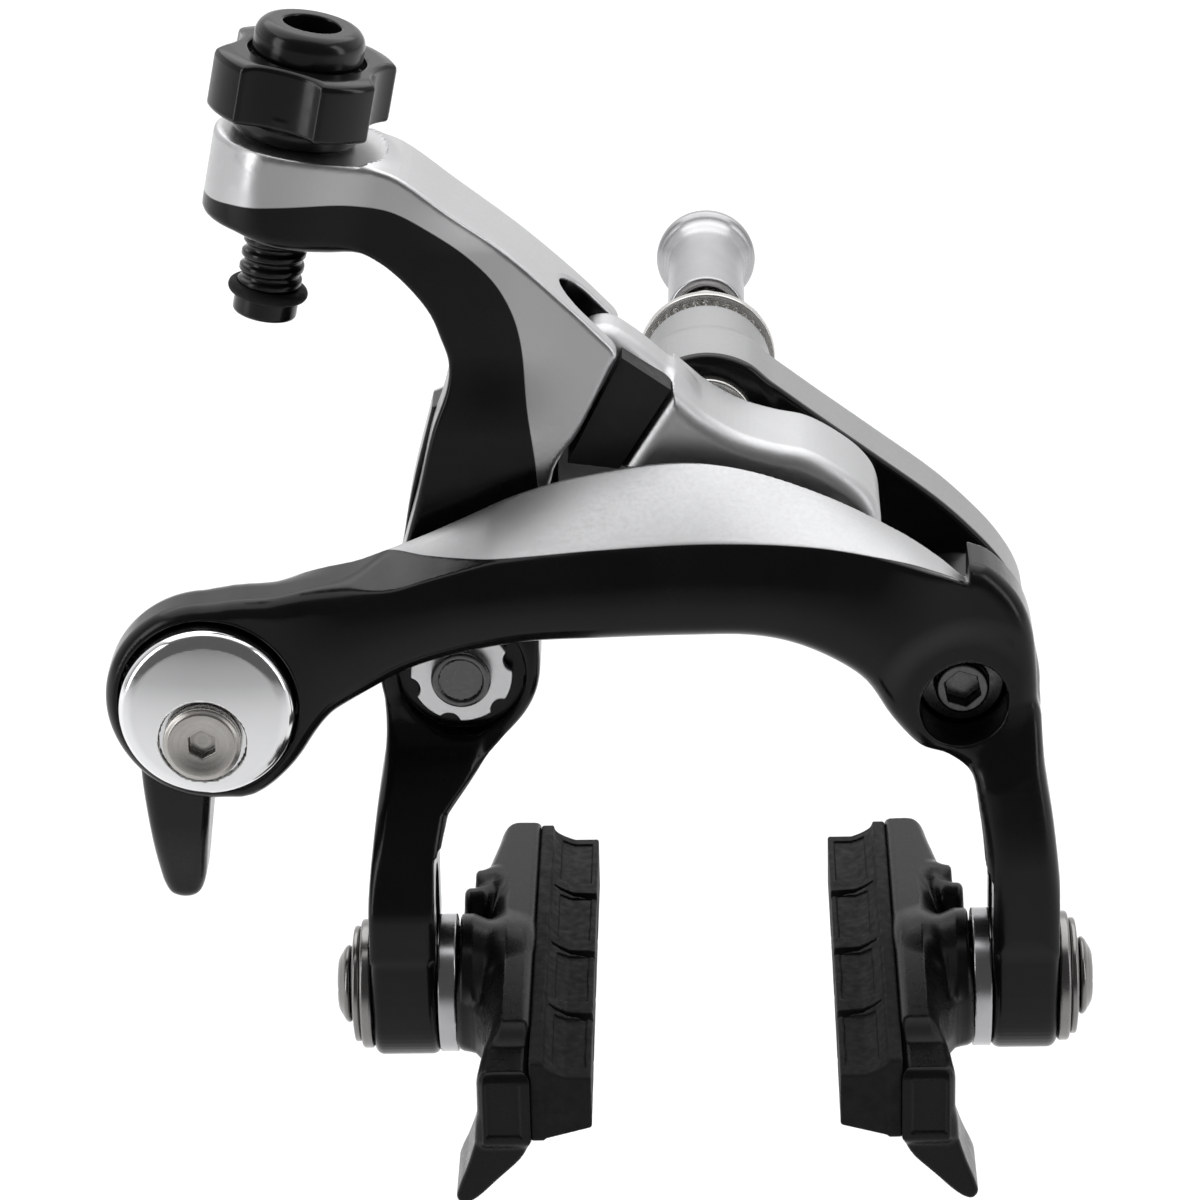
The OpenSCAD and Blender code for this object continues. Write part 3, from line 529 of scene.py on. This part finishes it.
# ---------------------------------------------------------------- link between the arms
S_TOP = outline([(-3.2, 8.2, 1), (-1.8, 6.9), (0, 5.3), (3.3, 3.3), (6.6, 2.2), (9.6, 1.5), (12.6, -0.2), (15, -2.2), (16.3, -4.2), (16.6, -6.6), (15.6, -8.6), (13.4, -9), (8, -4.8), (3.5, -4.3), (-2, -4.1), (-8.4, 0.2, 1)], 5)
S_BACK = outline([(-31.2, -19), (-29.9, -10), (-28.8, -4), (-26.6, 4.4, 1), (-21, 6.5), (-13, 6.7), (0, 3), (-6, -9), (-14, -12), (-17.2, -18), (-20, -25), (-26, -27.5)], 4)
S_TIP = outline([(-11.6, 6.9), (-13.0, 8.9), (-12.8, 11.0), (-11.4, 13.0), (-9.3, 13.4), (-6.8, 11.9), (-4, 9.4), (-2.2, 7.6), (-1.5, 5), (-3, 1), (-8, 4)], 5)

def sync(x, y, z):
    s2 = poly(x, z, S_TOP)
    a = imax(imax(s2, -32.5 - y, 1.8), y + 20.5, 1.2)
    b = imax(imax(poly(x, z, S_BACK), -25.95 - y, 0.4), y + 20.5, 0.4)
    c = imax(imax(poly(x, z, S_TIP), -29.6 - y, 2.2), y + 23.0, 2.0)
    d = umin(umin(a, c, 1.2), b, 0.4)
    d = umin(d, drum(x, z, y, -PX, PZ, 7.3, -25.95, -20.5, 0.4), 0.2)
    d = cut(d, disc(x, z, -PX, PZ, 3.6) + 0 * y, 0.1)
    d = cut(d, np.maximum(disc(x, z, 12.4, -4.8, 1.3), y + 31), 0.1)
    return d

def s_paint(x, y, z):
    return np.minimum(-14.5 - x, -21.3 - y) + 0 * z

make("link_lever", sync, (-31.8, -32.8, -28.2), (16.8, -20.2, 13.8), 0.3, "sync_lever", LEVER, "sync_lever", s_paint)

# ---------------------------------------------------------------- bracket
B_HALF = [(3.8, 5.3), (6, 3.7), (10.8, 0), (16.5, -4.3), (22.6, -9.0), (26.0, -12.2), (28.8, -15.4), (30.8, -18.8), (31.4, -21.6), (30, -25.4), (26.8, -27.5), (22.2, -27.3),
    (18, -24), (12.5, -17), (7, -13.5)]
B_OUT = outline([(0, 5.9)] + B_HALF + [(0, -12.5)] + [(-a, b) for a, b in B_HALF[::-1]], 5)

def bracket(x, y, z):
    d = imax(imax(poly(x, z, B_OUT), -17.95 - y, 0.5), y + 9.05, 0.9)
    d = umin(d, drum(x, z, y, 0, 0, 6.45, -17.95, -2.85, 0.35), 0.9)
    d = cut(d, disc(x, z, 0, 0, 3.65) + 0 * y, 0.1)
    pocket = np.maximum(disc(x, z, -PX, PZ, 7.45), y + 14.6)
    pocket = np.minimum(pocket, np.maximum(np.maximum(poly(x, z, np.array([(-32.2, -27.0), (-32.2, -12.5), (-25.2, -12.0), (-21.2, -27.0)])), y + 14.6), -30 - x * 0))
    d = cut(d, pocket, 0.4)
    d = cut(d, disc(np.abs(x), z, PX, PZ, 2.5) + 0 * y, 0.1)
    return d

# the bracket's front face (y < -17.1) gets the gloss black: painted shade standing in for the shade under the arms, on
# a silver part
def bracket_front_painted_shade(x, y, z):
    r = np.sqrt(sq(x) + sq(z))
    return -17.1 - y + 0 * x + 0 * z + 0 * r

make("pivot_bracket", bracket, (-31.8, -18.2, -28.2), (31.8, -2.6, 6.8), 0.32, "bracket", GREY, "bracket", bracket_front_painted_shade)

# ---------------------------------------------------------------- shoes
def arch(y):
    t = (y - SY) / 25
    return 0.35 * sq(t) - 0.6 * t

H_PLAN = outline([(-12.7, 17.52, 1), (-12.7, 20.3), (-13.4, 21.2), (-17, 21.9), (-22, 22.8), (-26.5, 23.8), (-30, 24.5), (-32.6, 24.8), (-35, 24.8), (-41, 24.8), (-43.6, 24.6), (-46, 23.4), (-48.5, 22.4), (-54, 21.9), (-60, 22.4), (-62.6, 22.5), (-63.35, 22.0, 1), (-63.35, 17.52, 1)], 5)
FIN = outline([(-22.3, -53.5), (-22.9, -56.2), (-23.7, -58.8), (-24.5, -60.9), (-24.75, -62.1), (-24.2, -62.7), (-23.2, -62.4), (-20.6, -60.0), (-18.3, -57.6), (-17.6, -55.6), (-17.7, -54), (-20, -52)], 5)

def holder(x, y, z):
    a = arch(y)
    zr = z - SZ + a
    ax = -x
    near = smooth(-y, 55.5, 58.5)
    ridge = 20.3 + 0.5 * near - 0.5 * smooth(y, -26, -14)
    fall = np.maximum(ax - ridge, 0)
    scoop = smooth(-y - 1.3 * fall, 23.5, 28.5) * (1 - near)
    top = 5.45 - 1.5 * near - np.minimum(0.75 * fall + 0.3 * sq(fall), 3.4) * scoop - 0.1 * sq(fall) * (1 - scoop)
    d = imax(poly(y, -x, H_PLAN), np.maximum(-3.95 - zr, (zr - top) * 0.75), 0.85)
    cone = 6.75 - 0.42 * np.maximum(x + 23.6, 0)
    d = umin(d, imax((np.sqrt(sq(y - SY) + sq(z - SZ)) - cone) * 0.92, span(x, -24.88, -18.5), 0.35), 2.2)
    d = umin(d, imax(disc(y, z, SY + 9.6, SZ + 3.5, 1.9), span(x, -24.85, -22.4), 0.6), 1.0)
    d = umin(d, imax(disc(y, z, SY + 13.8, SZ + 3.9, 1.5), span(x, -23.9, -21.6), 0.5), 0.9)
    fin = imax(poly(x, z, FIN), span(y, -62.6, -56.0 - 0.35 * (z + 55)), 0.45)
    d = umin(d, fin, 0.7)
    pan = np.maximum(np.maximum(span(x, -21.6, -18.5), span(zr, -2.6, 2.9)), y + 63.15)
    d = cut(d, pan, 0.12)
    d = cut(d, np.maximum(disc(y, z, SY, SZ, 2.9), x + 19.1), 0.1)
    return d

def pad(x, y, z):
    a = arch(y)
    zr = z - SZ + a
    body = imax(span(y, -62.95, -13.05), span(x, -17.48, -11.72), 0.2)
    t = clamp01((x + 16.3) / 4.5)
    top = 4.95 - 1.55 * np.sqrt(clamp01((x + 16.35) / 2.2)) + 0 * t
    flange = imax(body, np.maximum(span(zr, -3.3, 4.95), x + 16.3), 0.2)
    block = imax(body, np.maximum(-3.2 + 1.2 * t - zr, zr - top), 0.25)
    d = umin(flange, block, 0.3)
    for i in (-1, 0, 1):
        yc = SY + i * 12.5 - 0.12 * (x + 16.0)
        w = 0.12 + 0.95 * clamp01((x + 16.1) / 4.4)
        g = np.maximum(np.maximum(y - yc - 0.15, yc - y - w), -16.0 - x)
        d = cut(d, g, 0.1)
    for i in (-0.5, 0.5, -1.5, 1.5):
        yc = SY + i * 12.5
        pnl = np.maximum(np.maximum(np.abs(y - yc - 0.3) - 4.6, span(x, -15.4, -12.3)), top - 0.2 - zr)
        d = cut(d, pnl, 0.08)
    return d

for side, sg, mir in (("left", -1, False), ("right", 1, True)):
    make(side + "_shoe_holder", holder, (-25.2, -63.6, -63.8), (-17.2, -12.4, -44.2), 0.24, side + "_shoe", HOLDER, side + "_holder", None, mir)
    make(side + "_brake_pad", pad, (-17.7, -63.2, -57), (-11.4, -12.8, -46), 0.2, side + "_shoe", RUBBER, side + "_pad", None, mir)
    def sbolt(x, y, z):
        d = imax(disc(y, z, SY, SZ, 3.85), span(x, -37.18, -35.75), 0.35)
        rr = np.sqrt(sq(y - SY) + sq(z - SZ))
        d = imax(d, (-37.2 - x + 0.022 * sq(rr) + 0.75 * smooth(rr, 2.0, 4.3)) * 0.9, 0.3)
        d = umin(d, imax(disc(y, z, SY, SZ, 2.88), span(x, -36.5, -22.6), 0.1), 0.1)
        d = cut(d, np.maximum(hexa(y, z, SY, SZ, 4.0, 0.3), x + 34.6), 0.1)
        return d
    make(side + "_shoe_bolt", sbolt, (-37.4, -42.2, -55.7), (-22.3, -33.8, -47.3), 0.16, side + "_shoe", SBOLT[side], side + "_bolt", None, mir)
    def dish(x, y, z):
        r = np.sqrt(sq(y - SY) + sq(z - SZ))
        d = imax(r - 5.7, span(x, -35.7, -34.72), 0.3)
        d = imax(d, -35.7 + 0.16 * np.maximum(r - 3.6, 0) - x, 0.2)
        return cut(d, r - 2.95, 0.1)
    make(side + "_dished", dish, (-35.9, -43.9, -57.4), (-34.5, -32.1, -45.6), 0.14, side + "_carrier", WASH[side], side + "_dished_washer", None, mir)
    def flat(x, y, z):
        r = np.sqrt(sq(y - SY) + sq(z - SZ))
        return cut(imax(r - 6.35, span(x, -34.68, -33.52), 0.35), r - 2.95, 0.1)
    make(side + "_flat", flat, (-34.9, -44.6, -58.1), (-33.3, -31.4, -44.9), 0.15, side + "_carrier", WASH[side], side + "_flat_washer", None, mir)
    def spc(x, y, z):
        r = np.sqrt(sq(y - SY) + sq(z - SZ))
        return cut(imax(r - 6.78, span(x, -26.98, -25.22), 0.15), r - 2.95, 0.1)
    make(side + "_spacer_ring", spc, (-27.2, -45, -58.5), (-25, -31, -44.5), 0.16, side + "_carrier", SPAC[side], side + "_spacer", None, mir)

# ---------------------------------------------------------------- quick release
def qr_disc(x, y, z):
    r = np.sqrt(sq(x - QX) + sq(z - QZ))
    dome = -46.15 + sq(r) / 80.0 + 0.3 * smooth(r, 7.0, 8.4)
    d = imax(imax(r - 8.38, dome - y, 0.6), y + 41.05, 0.2)
    d = umin(d, imax(r - 4.0, span(y, -43, -31.55), 0.2), 0.1)
    rc = np.sqrt(sq(x - CX) + sq(z - CZ))
    return cut(d, np.maximum(rc - 4.2, y + 45.2), 0.12)

make("release_disc", qr_disc, (-56.6, -46.5, -27.8), (-39.4, -31.3, -10.6), 0.2, "quick_release", DISC, "qr_cam")

def cbolt(x, y, z):
    r = np.sqrt(sq(x - CX) + sq(z - CZ))
    d = imax(r - 3.74, span(y, -46.85, -45.25), 0.3)
    d = imax(d, -46.5 - 0.32 * smooth(r, 1.2, 3.4) + 0.4 * smooth(r, 3.15, 3.75) - y, 0.08)
    d = cut(d, np.maximum(hexa(x, z, CX, CZ, 2.5, 0.0), y + 45.4), 0.12)
    return d

make("cable_bolt_head", cbolt, (-52.7, -47.1, -26.2), (-44.1, -45.0, -17.6), 0.11, "cable_bolt", CBOLT, "cable_bolt")

QL_OUT = outline([(-55.3, -23.0, 1), (-55.1, -29.0), (-54.6, -34.0), (-54.1, -38.0), (-53.6, -40.4), (-53.0, -41.4), (-51.6, -41.8), (-50.4, -41.4), (-49.7, -40.0), (-49.2, -36.4), (-48.7, -32), (-48.3, -28.0, 1), (-48.0, -23, 1)], 5)
QL_ARM = outline([(-54.9, -19.5), (-55.1, -25.5), (-54.9, -30.4), (-51.8, -31.6), (-48.6, -30.4), (-46.6, -25.9), (-42.4, -21.5)], 4)

def qr_lever(x, y, z):
    fr = -40.4 + 1.6 * smooth(-z, 33, 42)
    re = -31.6 - 2.4 * smooth(-z, 33, 42)
    a = imax(imax(poly(x, z, QL_OUT), fr - y, 1.3), y - re, 1.0)
    a = imax(a, np.where(y < -34.6, 10.2 - disc(x, z, QX, QZ, 0.0), -5.0), 0.3)
    b = imax(imax(poly(x, z, QL_ARM), -34.85 - y, 0.4), y + 31.6, 0.4)
    d = umin(a, b, 0.8)
    d = umin(d, drum(x, z, y, QX, QZ, 6.95, -34.85, -31.55, 0.4), 0.2)
    return cut(d, disc(x, z, QX, QZ, 4.0) + 0 * y, 0.1)

make("release_lever", qr_lever, (-55.6, -40.7, -42.4), (-40.7, -31.3, -12.0), 0.26, "quick_release", BLACK, "qr_lever")

# ---------------------------------------------------------------- adjuster
def tilt_make(name, f, lo, hi, h, body, mat, node):
    V, Q, N = skin(f, lo, hi, h)
    s, c = math.sin(LEAN), math.cos(LEAN)
    R = np.array([[c, 0, s], [0, 1, 0], [-s, 0, c]])
    V = V @ R.T + np.array(ADJ); N = N @ R.T
    ob = to_object(name, V, Q, N)
    ob.data.materials.append(mat)
    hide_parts(node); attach(ob, body)
    return ob

def barrel(x, y, z):
    r = np.sqrt(sq(x) + sq(y)); a = np.arctan2(y, x)
    pitch = 1.45
    ph = ((z / pitch - a / (2 * math.pi)) % 1.0)
    tri = np.abs(ph - 0.5) * 2
    thr = 0.34 * (1 - smooth(tri, 0.15, 0.75)) * (1 - smooth(z, 4.4, 5.4)) * smooth(z, -12.2, -11.6)
    d = (imax(r - 3.08, span(z, -13.85, 12.2), 0.35) + thr) * 0.85
    cap = imax(imax(r - 5.28, span(z, 11.75, 15.35), 0.75), (r - 4.75) * 0.75 + (z - 15.0) * 0.66, 0.4)
    d = umin(d, cap, 0.2)
    d = cut(d, np.maximum(r - 2.75, 10.0 - z), 0.25)
    d = cut(d, r - 1.0 + 0 * z, 0.05)
    return d

tilt_make("adjuster_barrel_piece", barrel, (-5.5, -5.5, -14.1), (5.5, 5.5, 15.6), 0.15, "adjuster_barrel", KNOB, "adjuster_barrel")

def knob(x, y, z):
    r = np.sqrt(sq(x) + sq(y)); a = np.degrees(np.arctan2(y, x))
    d2 = r - 8.85
    for i in range(4):
        t = math.radians(78 + 90 * i)
        cx, cy = 13.9 * math.cos(t), 13.9 * math.sin(t)
        d2 = imax(d2, 7.1 - np.sqrt(sq(x - cx) + sq(y - cy)), 0.3)
    top = z - 12.35
    d = imax(d2, top, 0.55)
    d = imax(d, (r - 8.5) * 0.5 + (z - 12.2) * 0.87, 0.5)
    d = imax(d, 6.35 - z, 0.5)
    sk = imax(r - (6.0 + 0.25 * (z - 4.55)), span(z, 4.55, 7.5), 0.25)
    d = umin(d, sk, 0.3)
    d = cut(d, np.maximum(r - 5.65, 11.0 - z), 0.25)
    return cut(d, r - 3.15 + 0 * z, 0.1)

tilt_make("adjuster_knob_piece", knob, (-9.0, -9.0, 4.4), (9.0, 9.0, 12.5), 0.19, "adjuster_knob", KNOB, "adjuster_knob")

# ---------------------------------------------------------------- fork fixing
def nut(x, y, z):
    r = np.sqrt(sq(x) + sq(z))
    prof = ease(y, [12.3, 20, 26.6, 28.9, 29.5, 29.9, 31.2], [3.97, 3.97, 3.97, 4.5, 5.0, 5.22, 5.1])
    d = imax((r - prof) * 0.93, span(y, 12.35, 31.15), 0.4)
    d = cut(d, np.maximum(r - 2.95, y - 26), 0.3)
    return cut(d, np.maximum(hexa(x, z, 0, 0, 5.0), 26.0 - y), 0.3)

make("sleeve_nut", nut, (-5.5, 12.0, -5.5), (5.5, 31.4, 5.5), 0.15, "fork_nut", NUTM, "fork_nut")

def stud(x, y, z):
    r = np.sqrt(sq(x) + sq(z)); a = np.arctan2(z, x)
    ph = ((y / 1.0 - a / (2 * math.pi)) % 1.0)
    tri = np.abs(ph - 0.5) * 2
    thr = 0.28 * (1 - smooth(tri, 0.1, 0.8)) * smooth(y, 0.5, 1.5)
    d = (imax(r - lerp(y, [-0.5, -0.25, 11.5, 12.2, 30], [3.58, 2.98, 2.98, 2.53, 2.53]), span(y, -18, 24.9), 0.4) + thr) * 0.85
    d = umin(d, imax(r - 4.55, span(y, -19.55, -17.9), 0.3), 0.1)
    return cut(d, np.maximum(hexa(x, z, 0, 0, 5.0), y + 16.2), 0.15)

make("fork_stud", stud, (-4.8, -19.8, -4.8), (4.8, 25.2, 4.8), 0.15, "bracket", STEEL, "fork_bolt")

def tooth(x, y, z):
    r = np.sqrt(sq(x) + sq(z)); a = np.arctan2(z, x)
    rim = imax(r - 6.93, span(y, -1.18, -0.02), 0.22)
    t = np.cos(36 * a)
    band = imax((r - (5.95 + 0.28 * t)) * 0.8, span(y, -2.78, -1.0), 0.12)
    d = np.minimum(rim, band)
    return cut(d, r - 3.66 + 0 * y, 0.15)

make("serrated_ring", tooth, (-7.2, -3.0, -7.2), (7.2, 0.2, 7.2), 0.13, "bracket", STEEL, "toothed_ring")

def lock(x, y, z):
    r = np.sqrt(sq(x + PX) + sq(z - PZ))
    d = imax(r - 4.95, span(y, -33.05, -32.05), 0.15)
    for i in range(6):
        t = math.radians(i * 60 + 15.5)
        d = cut(d, disc(x, z, -PX + 5.4 * math.cos(t), PZ + 5.4 * math.sin(t), 1.12) + 0 * y, 0.15)
    return cut(d, r - 2.62 + 0 * y, 0.1)

make("notched_ring", lock, (-29.4, -33.3, -25.8), (-19.0, -31.8, -15.4), 0.12, "bracket", RINGM, "left_lock_ring")

def lbolt(x, y, z):
    r = np.sqrt(sq(x + PX) + sq(z - PZ))
    d = imax(r - 2.93, span(y, -34.55, -33.1), 0.4)
    d = cut(d, np.maximum(r - 2.2 + 0.5 * (y + 34.5), y + 34.35), 0.12)
    return umin(d, imax(r - 2.58, span(y, -33.6, -9.1), 0.1), 0.05)

make("left_bolt_body", lbolt, (-27.4, -34.8, -23.8), (-21.0, -8.8, -17.4), 0.14, "bracket", BOLTB, "left_pivot_bolt")

def rbolt(x, y, z):
    r = np.sqrt(sq(x - PX) + sq(z - PZ))
    d = imax(r - 2.58, span(y, -38.05, -9.1), 0.3)
    d = umin(d, imax(r - 4.1, span(y, -36.2, -35.65), 0.15), 0.1)
    return cut(d, np.maximum(hexa(x, z, PX, PZ, 3.2, 0.2), y + 36.3), 0.12)

make("right_bolt_body", rbolt, (20.4, -38.3, -24.4), (28.0, -8.8, -16.8), 0.13, "bracket", BOLTB, "right_pivot_bolt")

# ---------------------------------------------------------------- CAD pieces that stay, with softened edges
KEEP = {"left_collar": STEEL, "right_collar": STEEL, "return_spring": STEEL, "c_arm_bush": STEEL, "roller_pin": STEEL, "roller": STEEL, "cable_clamp": CLAMP,
        "y_arm_bush": STEEL, "lever_bush": STEEL, "lever_block": BLOCKM, "centring_screw": STEEL, "barrel_o_ring": ORING, "left_pad_screw": BOLTB, "right_pad_screw": BOLTB}
for n, m in KEEP.items():
    ob = nodes[n]
    ob.data.materials.clear(); ob.data.materials.append(m)
    bv = ob.modifiers.new("soft_edges", "BEVEL"); bv.width = 0.00015; bv.segments = 2; bv.limit_method = "ANGLE"; bv.angle_limit = math.radians(35)

# ---------------------------------------------------------------- floor, darker towards the front as painted shade
fm, nt, p = new_mat("floor_pale_with_painted_shade_front")
tc = nt.nodes.new("ShaderNodeTexCoord"); sx = nt.nodes.new("ShaderNodeSeparateXYZ")
link(nt, tc.outputs["Object"], sx.inputs["Vector"])
# base colour runs from 0.42 in front to 0.94 behind: painted shade, a darker floor in front of the object so the front
# faces reflect less light
link(nt, ramp(nt, remap(nt, sx.outputs["Y"], 0, 1, -0.42, -0.02), [(0.0, (0.42, 0.42, 0.42)), (1.0, (0.94, 0.94, 0.94))]), p.inputs["Base Color"])
p.inputs["Roughness"].default_value = 0.9
p.inputs["Specular IOR Level"].default_value = 0.0
me = bpy.data.meshes.new("floor")
S = 6.0
me.from_pydata([(-S, -S, -0.11), (S, -S, -0.11), (S, S, -0.11), (-S, S, -0.11)], [], [(0, 1, 2, 3)])
floor = bpy.data.objects.new("floor", me); scene.collection.objects.link(floor)
floor.data.materials.append(fm)

# ---------------------------------------------------------------- camera
def turn(rx, ry, rz):
    cx, sx, cy, sy, cz, sz = math.cos(rx), math.sin(rx), math.cos(ry), math.sin(ry), math.cos(rz), math.sin(rz)
    R0 = Matrix(((1, 0, 0), (0, 0, -1), (0, 1, 0)))
    Rx = Matrix(((1, 0, 0), (0, cx, -sx), (0, sx, cx)))
    Ry = Matrix(((cy, 0, sy), (0, 1, 0), (-sy, 0, cy)))
    Rz = Matrix(((cz, -sz, 0), (sz, cz, 0), (0, 0, 1)))
    return Rz @ Rx @ Ry @ R0

R = turn(math.radians(22.71), math.radians(1.41), math.radians(-1.31))
right, down, fwd = Vector(R[0]), Vector(R[1]), Vector(R[2])
cam_data = bpy.data.cameras.new("camera")
cam_data.sensor_width = 36.0; cam_data.lens = 157.5; cam_data.clip_start = 0.01; cam_data.clip_end = 50
cam = bpy.data.objects.new("camera", cam_data); scene.collection.objects.link(cam)
rot = Matrix((right, -down, -fwd)).transposed().to_4x4()
cam.matrix_world = Matrix.Translation((0.00094, -0.5006, 0.18281)) @ rot
scene.camera = cam

# ---------------------------------------------------------------- light
def area(name, loc, target, size, power, size_y=None, colour=(1, 1, 1)):
    l = bpy.data.lights.new(name, "AREA"); l.energy = power; l.color = colour
    l.shape = "RECTANGLE"; l.size = size; l.size_y = size_y or size
    o = bpy.data.objects.new(name, l); scene.collection.objects.link(o)
    d = Vector(target) - Vector(loc)
    o.matrix_world = Matrix.Translation(loc) @ d.to_track_quat("-Z", "Y").to_matrix().to_4x4()
    return o

area("top_soft", (0.0, 0.55, 1.15), (0, 0.25, 0), 2.2, 20, 2.0)
area("left_soft", (-0.85, -0.40, 0.28), (0, -0.02, -0.02), 0.30, 3.0, 0.9)
area("right_soft", (0.95, -0.30, 0.35), (0, -0.02, -0.02), 0.25, 2.2, 0.9)
world = bpy.data.worlds.new("world"); scene.world = world; world.use_nodes = True
wn = world.node_tree
wc = wn.nodes.new("ShaderNodeTexCoord"); wx = wn.nodes.new("ShaderNodeSeparateXYZ")
link(wn, wc.outputs["Generated"], wx.inputs["Vector"])
wm = wn.nodes.new("ShaderNodeMapRange"); wm.interpolation_type = "SMOOTHSTEP"
wm.inputs["From Min"].default_value = -0.5; wm.inputs["From Max"].default_value = 0.7
wm.inputs["To Min"].default_value = 0.11; wm.inputs["To Max"].default_value = 0.95
link(wn, wx.outputs["Y"], wm.inputs["Value"])
wn.nodes["Background"].inputs["Color"].default_value = (1, 1, 1, 1)
link(wn, wm.outputs["Result"], wn.nodes["Background"].inputs["Strength"])
scene.view_settings.view_transform = "Standard"
